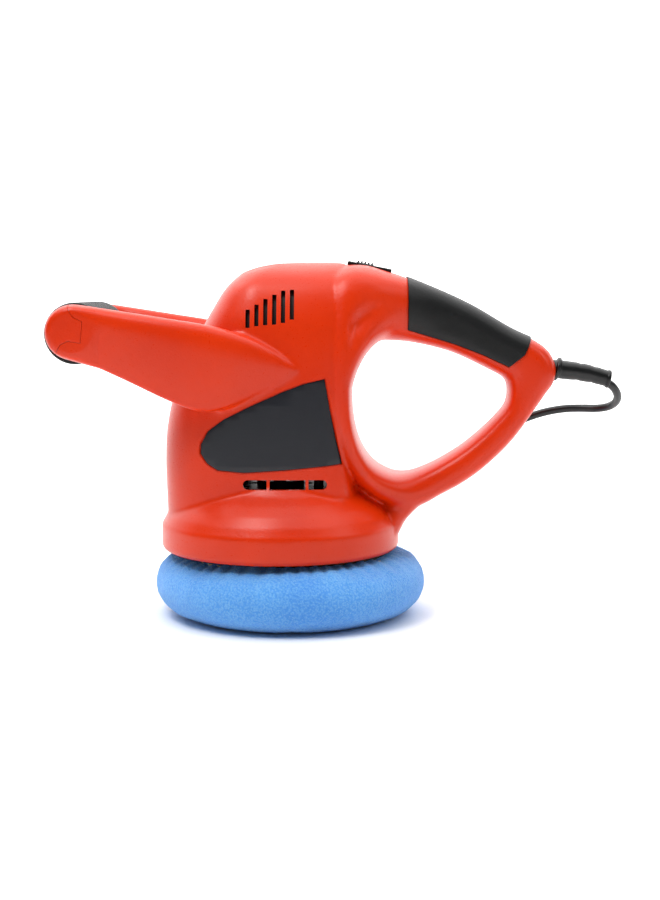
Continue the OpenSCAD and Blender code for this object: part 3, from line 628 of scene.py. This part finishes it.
def puck(station, inset):
    """Points of a round bar end that lies across the polisher, with generously rounded edges."""
    x, z, radius, half = station
    points = []
    for u, v in oval(radius - inset, half - inset, 2.9, 24):
        if u > 0:
            for i in range(28):
                a = math.tau * i / 28
                points.append((x + u * math.cos(a), v, z + u * math.sin(a)))
    return points


def loop_form(inset):
    bm = bmesh.new()
    run = eased(LOOP, 5, closed=True)
    for branch in (run + run[:1], eased(CORNER, 6), WEB):
        for here, there in zip(branch, branch[1:]):
            hull_into(bm, puck(here, inset) + puck(there, inset))
    return piece("loop_form", bm)


def arm_ring(station, inset, side):
    """Section of a front handle arm: a rounded band on top and a face that leans in towards its foot."""
    x, bottom, ridge, top, out = station
    share = min(1, (top - bottom) / 40)
    deep = ARM_T * (0.35 + 0.65 * share)
    band = top - ridge
    low = ridge - bottom
    corners = [
        (-deep * 0.75, top - 0.3 * share), (-deep * 0.45, top), (-deep * 0.2, top - band * 0.16),
        (-deep * 0.05, top - band * 0.5), (0, ridge), (-0.8 * share, ridge - low * 0.3),
        (-2.4 * share, ridge - low * 0.65), (-4.4 * share, bottom + low * 0.09),
        (-6 * share, bottom), (-deep * 0.75, bottom), (-deep * 0.96, bottom + low * 0.1),
        (-deep, bottom + low * 0.4), (-deep, ridge - low * 0.1), (-deep * 0.97, ridge + band * 0.6),
    ]
    centre_y = out - deep / 2
    centre_z = (top + bottom) / 2
    shrink_y = max(0.05, 1 - 2 * inset / deep)
    shrink_z = max(0.05, 1 - 2 * inset / (top - bottom))
    return [
        (x, side * (centre_y + (out + y - centre_y) * shrink_y), centre_z + (z - centre_z) * shrink_z)
        for y, z in eased(corners, 4, closed=True)
    ]


def arm_end(inset, side):
    """Points of the round end that carries the bar."""
    points = []
    for reach, off in ((-ARM_T, 1), (-ARM_T + 2, 0), (-7, 0), (-3.5, 0.7), (-1.2, 1.7), (-0.2, 3), (0, 4)):
        radius = 16.7 - off - inset
        y = ARM_Y + reach + (inset if reach < -ARM_T / 2 else -inset)
        for i in range(64):
            a = math.tau * i / 64
            points.append((BAR[0] + radius * math.cos(a), side * y, BAR[1] + radius * math.sin(a)))
    return points


def arm_form(inset, side):
    run = eased(ARM, 6)
    shaft = loft("arm_form", [arm_ring(station, inset, side) for station in run])
    bm = bmesh.new()
    hull_into(bm, arm_end(inset, side) + arm_ring(run[2], inset, side))
    return [shaft, piece("arm_end_form", bm)]


def handle_form(inset, voxel, smoothing):
    """The whole outside of the housing as one skin, drawn in by an inset."""
    loop = fused("loop_form", [loop_form(inset)], 1.6, 14)
    parts = [body_form(inset), skirt_form(inset), loop]
    parts += arm_form(inset, 1) + arm_form(inset, -1)
    return fused("handle_form", parts, voxel, smoothing)


# ------------------------------------------------------------------ cord

CORD_D = 5.2
LEAD = [
    (205, 0, 146.8), (210.8, 2.4, 143), (214.8, 7.5, 138.4), (216.4, 14, 133.8), (215.4, 21.3, 130),
    (211.8, 28, 127.4), (206, 33, 126.2), (197, 36.8, 126), (186, 39.2, 125.4), (172, 41, 122.6),
    (156, 42.6, 116.5), (140, 44.6, 106.5), (124, 47.6, 94.8), (110, 52, 83), (97, 57.4, 71),
    (85, 64, 57), (75, 71.4, 41), (67, 79.4, 24.4), (60, 88, 11.4), (53.4, 97, 4.6), (47.6, 107, 3),
    (43, 118, 3), (40, 129, 3.2),
]
TAIL = [
    (-33.6, 158.4, 18.8), (-38.2, 149.6, 17.6), (-42.6, 141.2, 13.8), (-46.6, 133.4, 9.2), (-50.6, 126, 7),
]
COIL_AT = (0, 140)
COIL_LAYERS = (3.4, 8.6, 13.8, 19.0)
COIL_TURNS = (38.2, 33, 27.8)
PLUG_TURN = 241


def coil_points():
    """Four flat layers of three turns, wound in and out by turns."""
    turns = []
    for i, z in enumerate(COIL_LAYERS):
        turns += [(r, z) for r in (COIL_TURNS if i % 2 == 0 else COIL_TURNS[::-1])]
    points = []
    for k, (radius, z) in enumerate(turns):
        last = k == len(turns) - 1
        after = turns[k] if last else turns[k + 1]
        for a in range(0, 136 if last else 360, 15):
            t = max(0, (a - 300) / 60)
            t = t * t * (3 - 2 * t)
            r = radius + (after[0] - radius) * t
            turn = math.radians(a + 6)
            points.append((
                COIL_AT[0] + r * math.cos(turn), COIL_AT[1] + r * math.sin(turn), z + (after[1] - z) * t,
            ))
    return points


def make_cord():
    """The mains cord as one round lead, from the strain relief through the coil to the plug."""
    run = eased(LEAD + coil_points() + TAIL, 4)
    curve = bpy.data.curves.new("mains_cord_lead", "CURVE")
    curve.dimensions = "3D"
    curve.bevel_depth = CORD_D / 2 * MM
    curve.bevel_resolution = 5
    curve.use_fill_caps = True
    spline = curve.splines.new("POLY")
    spline.points.add(len(run) - 1)
    for point, at in zip(spline.points, run):
        point.co = (*(v * MM for v in at), 1)
    spline.use_smooth = True
    cord = bpy.data.objects.new("mains_cord_lead", curve)
    bpy.context.scene.collection.objects.link(cord)
    curve.materials.append(cord_pvc())
    return cord


def placed(obj, at, turn, axis="Z"):
    """Turns a finished piece in its mesh, then moves it, in millimetres."""
    obj.data.transform(Matrix.Translation(Vector(at) * MM) @ Matrix.Rotation(math.radians(turn), 4, axis))
    return obj


def make_plug():
    """Moulded two-pin plug: a ribbed neck that widens into a waisted body."""
    rings = []
    for x, wide, high in eased([
        (0, 3.6, 3.6), (3, 4.4, 4.4), (9, 5.6, 5.6), (12, 7.6, 6.2), (15, 9, 6.5), (20, 9.9, 6.6),
        (25, 13.6, 6.8), (30, 15.8, 6.9), (34, 16, 6.8), (36, 15.2, 6.2),
    ], 3):
        pinch = 0.5 if 2 < x < 11 and int(x / 1.5) % 2 else 0
        rings.append([(x, u, v) for u, v in oval(wide - pinch, high - pinch, 2.6, 48)])
    body = placed(loft("plug_body_skin", rings), TAIL[-1], PLUG_TURN)
    modify(body, "BEVEL", width=0.5 * MM, segments=3, limit_method="ANGLE", angle_limit=math.radians(50))
    stands_for(body, "plug_body")
    return dress(round_shading(body), cord_pvc())


def make_pins():
    """Two round pins with domed tips."""
    pins = []
    for side in (-1, 1):
        profile = [(0, 34.5), (2, 34.5), (2, 53), (1.7, 54.2), (1, 54.85), (0, 55)]
        pin = spun("pin", profile, steps=32)
        pin.data.transform(Matrix.Rotation(math.radians(90), 4, "Y"))
        pins.append(placed(pin, (0, side * 9.3, 0), 0))
    both = joined("plug_pins_skin", pins)
    placed(both, TAIL[-1], PLUG_TURN)
    stands_for(both, "plug_pins")
    return dress(round_shading(both), nickel())


def joined(name, objs):
    """Several separate solids as one object."""
    bm = bmesh.new()
    for obj in objs:
        bm.from_mesh(obj.data)
    drop(*objs)
    return piece(name, bm, scale=1)


def make_tie():
    """Flat tie strap round the coil, with a small buckle on top."""
    middle = 33
    rings = []
    path = oval(8.5, 10.6, 4, 60)
    for u, v in path:
        outward = Vector((u, v)).normalized()
        rings.append([
            (middle + u + outward.x * t, w, 11.2 + v + outward.y * t)
            for t, w in ((0, -3.7), (-0.3, -3.4), (-0.3, 3.4), (0, 3.7), (0.5, 3.4), (0.5, -3.4))
        ])
    strap = loft("tie_strap", rings, closed=True)
    buckle = block("tie_buckle", (middle - 3, -4.2, 21.6), (middle + 3, 4.2, 23.6))
    modify(buckle, "BEVEL", width=0.7 * MM, segments=3)
    tie = joined("cord_tie_skin", [strap, buckle])
    placed(tie, (*COIL_AT, 0), 60)
    stands_for(tie, "cord_tie")
    return dress(round_shading(tie), filled_nylon())


def make_relief():
    """Tapered rubber sleeve where the cord leaves, with a collar and shallow ribs."""
    stations = [
        (168, 154, 5.6), (171, 154, 5.8), (173.6, 153.9, 5.9), (174.4, 153.85, 7.2), (176.2, 153.75, 7.2),
        (177, 153.7, 5.9), (180, 153.3, 5.8), (189, 152.2, 5.6), (198, 150.4, 5.3), (206, 148.2, 5),
        (207, 147.9, 5.5), (208.4, 147.3, 5.5), (208.8, 147.1, 4.6),
    ]
    rings = []
    for i, (x, z, radius) in enumerate(eased(stations, 4)):
        groove = 0.35 if 180 < x < 200 and i % 4 == 0 else 0
        rings.append([
            (x + 0.25 * v, u, z + v) for u, v in oval(radius - groove, radius - groove, 2, 48)
        ])
    relief_skin = loft("strain_relief_skin", rings)
    stands_for(relief_skin, "strain_relief")
    return dress(round_shading(relief_skin, 50), cord_pvc())


# ------------------------------------------------------------------ housing and its fittings

PLATE = [
    (28, 150), (31.3, 131), (34.5, 115), (38.5, 98.5), (4, 95.2), (-20.7, 93.6), (-36.8, 94.9),
    (-43.3, 98.9), (-47.2, 104.6), (-47, 110.2), (-42.5, 118.3), (-32.8, 125.6), (-16.6, 133.7),
    (3.6, 142.6), (15.8, 147.1),
]
GRIP = [
    (80, 216), (80, 179), (92, 175.5), (110, 170), (127, 163.5), (143, 156), (152.5, 163.5),
    (158.5, 176), (150, 190),
]
CAP = [
    (-150, 200), (-124.3, 197), (-124.3, 193.1), (-121.2, 187.9), (-115.5, 185.1), (-116.6, 172.2),
    (-124.1, 173.4), (-128.6, 171.2), (-134.5, 161), (-150, 155),
]
VENT_X = -18.4
VENT_STEP = 5.35
VENT_W = 2.6
VENT_BOTTOMS = (181, 182, 182.6, 183, 184, 186)
VENT_TOPS = (192, 195, 198.4, 201, 203.5, 204)
SLOT_X = (-21.3, 29.6)
SLOT_Z = 86.2
SLOT_H = 6
SLOT_RIBS = (-6, 17.5)
SCREWS = [(-56, 100, 20), (-46, 160, 20), (58, 182, 12), (163, 164.5, 8), (104, 87, 8)]
SWITCH_AT = (56, 0, 217.2)
SWITCH_TILT = 11


def grown(outline, by):
    """An outline moved outwards all round."""
    middle = (sum(x for x, _ in outline) / len(outline), sum(z for _, z in outline) / len(outline))
    moved = []
    count = len(outline)
    for i, (x, z) in enumerate(outline):
        (ax, az), (bx, bz) = outline[i - 1], outline[(i + 1) % count]
        normal = Vector((bz - az, ax - bx)).normalized()
        if normal.dot(Vector((x - middle[0], z - middle[1]))) < 0:
            normal.negate()
        moved.append((x + normal.x * by, z + normal.y * by))
    return moved


def pill(x_from, x_to, z, height, reach):
    """A long hole with round ends."""
    half = height / 2
    outline = []
    for centre, start_at in ((x_to - half, -90), (x_from + half, 90)):
        for i in range(13):
            a = math.radians(start_at + 15 * i)
            outline.append((centre + half * math.cos(a), z + half * math.sin(a)))
    return prism("slot_hole", outline, -reach, reach)


def cut_openings(shell):
    """Vents, the cooling slot, the switch opening and the cord's hole."""
    for i, (bottom, top) in enumerate(zip(VENT_BOTTOMS, VENT_TOPS)):
        x = VENT_X + i * VENT_STEP
        hole = block("vent_hole", (x - VENT_W / 2, -60, bottom), (x + VENT_W / 2, 60, top))
        carve(shell, hole)
        drop(hole)
    stops = [SLOT_X[0]] + [x + e for x in SLOT_RIBS for e in (-0.9, 0.9)] + [SLOT_X[1]]
    slot = pill(SLOT_X[0], SLOT_X[1], SLOT_Z, SLOT_H, 70)
    for i in (0, 2, 4):
        low = (stops[i] - 0.01, -69, SLOT_Z - 4)
        high = (stops[i + 1] + 0.01, 69, SLOT_Z + 4)
        window = block("slot_window", low, high)
        carve(window, slot, "INTERSECT")
        carve(shell, window)
        drop(window)
    drop(slot)
    opening = block("switch_hole", (-13.5, -7.5, -14), (13.5, 7.5, 9))
    seat = block("switch_seat", (-14.2, -8.2, -0.2), (14.2, 8.2, 9))
    for tool in (opening, seat):
        placed(placed(tool, (0, 0, 0), SWITCH_TILT, "Y"), SWITCH_AT, 0)
        carve(shell, tool)
        drop(tool)
    hole = spun("cord_hole", [(0, 160), (6.1, 160), (6.1, 185), (0, 185)], steps=48)
    hole.data.transform(Matrix.Rotation(math.radians(90), 4, "Y"))
    placed(hole, (0, 0, 154), 0)
    carve(shell, hole)
    drop(hole)


def cut_screw_holes(shell):
    """Round recesses over the housing screws, all on one side."""
    for x, z, y in SCREWS:
        hole = spun("screw_hole", [(0, y - 1.2), (3.7, y - 1.2), (3.7, 70), (0, 70)], steps=40)
        hole.data.transform(Matrix.Rotation(math.radians(-90), 4, "X"))
        placed(hole, (x, 0, z), 0)
        carve(shell, hole)
        drop(hole)


def side_half(whole, name, side, gap=0.12):
    """One side of a piece, cut along the polisher's middle."""
    low, high = ((-200, gap, -10), (250, 200, 300)) if side > 0 else ((-200, -200, -10), (250, -gap, 300))
    half = copy_of(whole, name)
    tool = block("half_space", low, high)
    carve(half, tool, "INTERSECT")
    drop(tool)
    return half


def layer(name, outline, outer, inner, low, high):
    """The part of a skin inside a side-view outline, between two shapes and two y values."""
    made = prism(name, outline, low, high)
    carve(made, outer, "INTERSECT")
    carve(made, inner)
    return made


def soften(obj, width, angle=40):
    """Bevels the edges that are sharper than an angle."""
    return modify(
        obj, "BEVEL", width=width * MM, segments=2, limit_method="ANGLE", angle_limit=math.radians(angle)
    )


def make_housing():
    orange = moulded_abs()
    outer = handle_form(0, 1.25, 6)
    hollow = handle_form(SHELL, 2.4, 3)
    shell = copy_of(outer, "housing_shell")
    carve(shell, hollow)

    plate_bed = body_form(1.5)
    lip_bed = body_form(0.45)
    for depth_form, margin in ((lip_bed, 1.1), (plate_bed, 0.45)):
        for low, high in ((-70, -30), (30, 70)):
            ring = prism("plate_pocket", grown(PLATE, margin), low, high)
            carve(ring, depth_form)
            carve(shell, ring)
            drop(ring)

    grip_core = fused("grip_core", [loop_form(1.7)], 1.6, 14)
    pocket = prism("grip_pocket", grown(GRIP, 0.45), -40, 40)
    carve(pocket, grip_core)
    carve(shell, pocket)
    drop(pocket)

    for side in (-1, 1):
        zone = prism("cap_zone", grown(CAP, 0.14), side * (ARM_Y - 10), side * (ARM_Y + 6))
        carve(shell, zone)
        drop(zone)
        cap = prism("cap", grown(CAP, -0.14), side * (ARM_Y - 9.8), side * (ARM_Y + 6))
        carve(cap, outer, "INTERSECT")
        cap.name = "handle_cap_skin_" + ("left" if side < 0 else "right")
        stands_for(cap, "handle_cap_left" if side < 0 else "handle_cap_right")
        dress(round_shading(soften(cap, 0.3), 40), orange)

    cut_openings(shell)
    for side, word in ((-1, "left"), (1, "right")):
        half = side_half(shell, "housing_skin_" + word, side)
        if side > 0:
            cut_screw_holes(half)
        stands_for(half, "housing_" + word)
        dress(round_shading(half, 38), orange)
    drop(shell, hollow, outer)

    slate = painted_plate()
    cover = body_form(0.7)
    for side, word in ((-1, "left"), (1, "right")):
        plate = layer("name_plate_skin_" + word, PLATE, cover, plate_bed, side * 30, side * 70)
        stands_for(plate, "name_plate_" + word)
        dress(round_shading(soften(plate, 0.35), 30), slate)
    drop(cover, plate_bed, lip_bed)

    proud = fused("grip_proud", [loop_form(-0.9)], 1.25, 16)
    grip = layer("rear_grip_skin", GRIP, proud, grip_core, -40, 40)
    drop(proud, grip_core)
    stands_for(grip, "rear_grip")
    dress(round_shading(soften(grip, 0.6), 40), grip_rubber())


def make_sleeve():
    """Rubber sleeve of the front bar: flush ends and shallow rings along its length."""
    profile = [(14.6, -45.6), (17.9, -45.6), (18.6, -45), (18.7, -44)]
    z = -41
    while z < 41:
        profile += [(18.7, z), (18.2, z + 0.5), (18.2, z + 1.5), (18.7, z + 2)]
        z += 4
    profile += [(18.7, 44), (18.6, 45), (17.9, 45.6), (14.6, 45.6)]
    sleeve = loft("front_sleeve_skin", [
        [(r * math.cos(math.tau * i / 96), r * math.sin(math.tau * i / 96), z) for i in range(96)]
        for r, z in profile
    ], closed=True)
    sleeve.data.transform(Matrix.Rotation(math.radians(90), 4, "X"))
    placed(sleeve, (BAR[0], 0, BAR[1] - 0.9), 0)
    stands_for(sleeve, "front_sleeve")
    return dress(round_shading(sleeve, 40), grip_rubber())


def make_switch():
    """Bevelled bezel and a ribbed thumb slider."""
    black = filled_nylon()
    bezel = block("switch_bezel_skin", (-14, -8, 0), (14, 8, 2.4))
    window = block("window", (-9.5, -4.5, -2), (9.5, 4.5, 6))
    carve(bezel, window)
    drop(window)
    soften(bezel, 0.7)
    slider = block("slider_pad", (-8.5, -4.2, -1.4), (2.5, 4.2, 2.9))
    ribs = [slider]
    for i in range(5):
        x = -7.4 + i * 2.2
        ribs.append(block("slider_rib", (x - 0.5, -3.6, 2.2), (x + 0.5, 3.6, 4)))
    for rib in ribs:
        soften(rib, 0.3)
    slider = joined("switch_slider_skin", ribs)
    for part, node in ((bezel, "switch_bezel"), (slider, "switch_slider")):
        placed(placed(part, (0, 0, 0), SWITCH_TILT, "Y"), SWITCH_AT, 0)
        stands_for(part, node, body="switch" if part is slider else "housing")
        dress(round_shading(part), black)


def make_vent_shade_sheets():
    """A thin black sheet behind the vents of each side: painted shade, so that the vents look dark inside
    instead of open to the far side.
    """
    over = body_form(SHELL + 0.3)
    under = body_form(SHELL + 1.1)
    x_from, x_to = VENT_X - 4, VENT_X + 5 * VENT_STEP + 4
    outline = [(x_from, 178), (x_to, 181), (x_to, 208), (x_from, 196)]
    for side, word in ((-1, "left"), (1, "right")):
        shade_sheet = layer("vent_shade_sheet_" + word, outline, over, under, side * 8, side * 60)
        stands_for(shade_sheet)
        # painted shade: a black sheet that darkens the inside of the vents, wearing the black nylon
        # material
        dress(round_shading(soften(shade_sheet, 0.2)), filled_nylon())
    drop(over, under)


def make_label():
    """A blank label that follows the dome over the front."""
    outline = [(-24, 150), (-24, 260), (2, 260), (2, 150)]
    over = body_form(-0.22)
    under = body_form(0.1)
    label = layer("blank_label", outline, over, under, -13, 13)
    low = block("below_label", (-60, -30, 100), (60, 30, 205))
    carve(label, low)
    drop(over, under, low)
    stands_for(label)
    return dress(round_shading(label), label_film())


# ------------------------------------------------------------------ bonnet

PAD_X = 6.35
BELLY_R = 84.7
# Outer and inner sections of the bonnet: radius and height
BONNET_OUTSIDE = [
    (0, 0), (50, 0), (66, 0.6), (76, 4.6), (82.4, 11.6), (BELLY_R, 20.5), (83, 28.6), (77.6, 35),
    (71, 38.2), (66, 38.5), (50, 37), (0, 36),
]
BONNET_INSIDE = [
    (0, 3), (50, 3), (65.6, 3.8), (73.6, 7.6), (79, 13.6), (81.2, 20.5), (80, 26), (76, 32),
    (71, 35.4), (66, 36.2), (63.5, 37), (63, 39), (62.6, 50), (0, 50),
]
CLOTH_FRAMES = 20
CLOTH_MOVE = 3 * MM
HEM_FOLDS = 46
HEM_RISE = 0.55
HEM_SPREAD = 0.8
NAP_SIZE = 2.3
NAP_DEPTH = 0.22
SAG_SIZE = 17
SAG_DEPTH = 0.35


def make_bonnet():
    """Terry bonnet: simulated as filled cloth, then roughened and drawn in by its hem."""
    bonnet = spun("bonnet_skin", eased(BONNET_OUTSIDE, 3), (PAD_X, 0), steps=120)
    modify(bonnet, "REMESH", mode="VOXEL", voxel_size=5 * MM)
    cloth = bonnet.modifiers.new("cloth", "CLOTH")
    cloth.settings.quality = 6
    cloth.settings.use_pressure = True
    cloth.settings.uniform_pressure_force = 4
    cloth.settings.effector_weights.gravity = 0
    cloth.settings.shrink_min = -0.01
    scene = bpy.context.scene
    scene.frame_start, scene.frame_end = 1, CLOTH_FRAMES
    cloth.point_cache.frame_start, cloth.point_cache.frame_end = 1, CLOTH_FRAMES
    rest = [vert.co.copy() for vert in bonnet.data.vertices]
    for frame_number in range(1, CLOTH_FRAMES + 1):
        scene.frame_set(frame_number)
    settled(bonnet)
    scene.frame_set(1)
    for vert, before in zip(bonnet.data.vertices, rest):
        move = vert.co - before
        if move.length > CLOTH_MOVE:
            vert.co = before + move.normalized() * CLOTH_MOVE
        vert.co.z = max(vert.co.z, 0.2 * MM)
    modify(bonnet, "SUBSURF", levels=1, render_levels=1)
    modify(bonnet, "REMESH", mode="VOXEL", voxel_size=1.5 * MM)
    modify(bonnet, "SMOOTH", factor=0.5, iterations=3)

    inside = spun("bonnet_inside", eased(BONNET_INSIDE, 3), (PAD_X, 0), steps=120)
    carve(bonnet, inside)
    drop(inside)
    pucker(bonnet)
    stands_for(bonnet, "bonnet", body="pad")
    return dress(round_shading(bonnet, 60), terry_cloth())


def pucker(bonnet):
    """Gathers of the hem, which fade out down the side, and the nap of the loops."""
    for vert in bonnet.data.vertices:
        x, y, z = vert.co.x / MM - PAD_X, vert.co.y / MM, vert.co.z / MM
        radius, turn = math.hypot(x, y), math.atan2(y, x)
        near = max(0, 1 - (BELLY_R - radius) / 21) if z > 20 else 0
        near = (1 - near) * max(0, min(1, (z - 27) / 8)) if z > 20 else 0
        fold = math.sin(HEM_FOLDS * turn + 1.7 * math.sin(5 * turn)) * near
        nap = (
            noise.noise(Vector((x, y, z)) / NAP_SIZE) * NAP_DEPTH
            + noise.noise(Vector((x, y, z)) / SAG_SIZE) * SAG_DEPTH
        )
        out = Vector((x, y, 0)).normalized() if radius > 1 else Vector((0, 0, 0))
        lift = HEM_RISE * fold
        vert.co.z = max(0.1 * MM, vert.co.z + (lift + (nap if z > 2 else nap * 0.2)) * MM)
        vert.co += out * (HEM_SPREAD * fold + (nap if z > 4 else 0)) * MM


# ------------------------------------------------------------------ CAD pieces kept as they are

def dress_inner_pieces():
    """Every CAD piece that shows through an opening or from below gets its own material."""
    steel, race, sheets = turned_steel(), bearing_steel(), lamination_steel()
    nylon, zinc, copper = filled_nylon(), cast_zinc(), enamelled_wire()
    strip = brass()
    brown = wire_sleeve("brown_wire", "#6A3318", "#57280F")
    blue = wire_sleeve("blue_wire", "#2450A8", "#1B3F88")
    wear = {
        "motor_shaft": steel, "pad_spindle": steel, "pad_screw": steel, "housing_screws": steel,
        "shroud_screws": steel, "stator_screws": steel, "clamp_screws": steel,
        "lower_frame": nylon, "upper_frame": nylon, "cord_clamp": nylon, "switch_module": nylon,
        "bottom_shroud": nylon, "cooling_fan": nylon, "backing_plate": nylon, "eccentric_hub": zinc,
        "stator_core": sheets, "armature_core": sheets, "field_coils": copper, "armature_windings": copper,
        "commutator": commutator_copper(), "carbon_brushes": carbon(), "brush_holders": strip,
        "brush_springs": race, "capacitor": capacitor_film(), "motor_wires": blue, "supply_wires": brown,
        "foam_pad": open_foam(), "bonnet_elastic": knitted_elastic(),
    }
    for node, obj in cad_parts.items():
        if node.endswith(("_balls", "_race", "_races")):
            dress(obj, race)
        elif node in wear:
            dress(obj, wear[node])


# ------------------------------------------------------------------ making it all

make_camera()
cord = make_cord()
make_studio()
stands_for(cord, "mains_cord", "cord_tail", "cord_coil")
fittings = [make_plug(), make_pins(), make_tie(), make_relief()]
make_housing()
make_sleeve()
make_switch()
make_vent_shade_sheets()
make_label()
make_bonnet()
dress_inner_pieces()
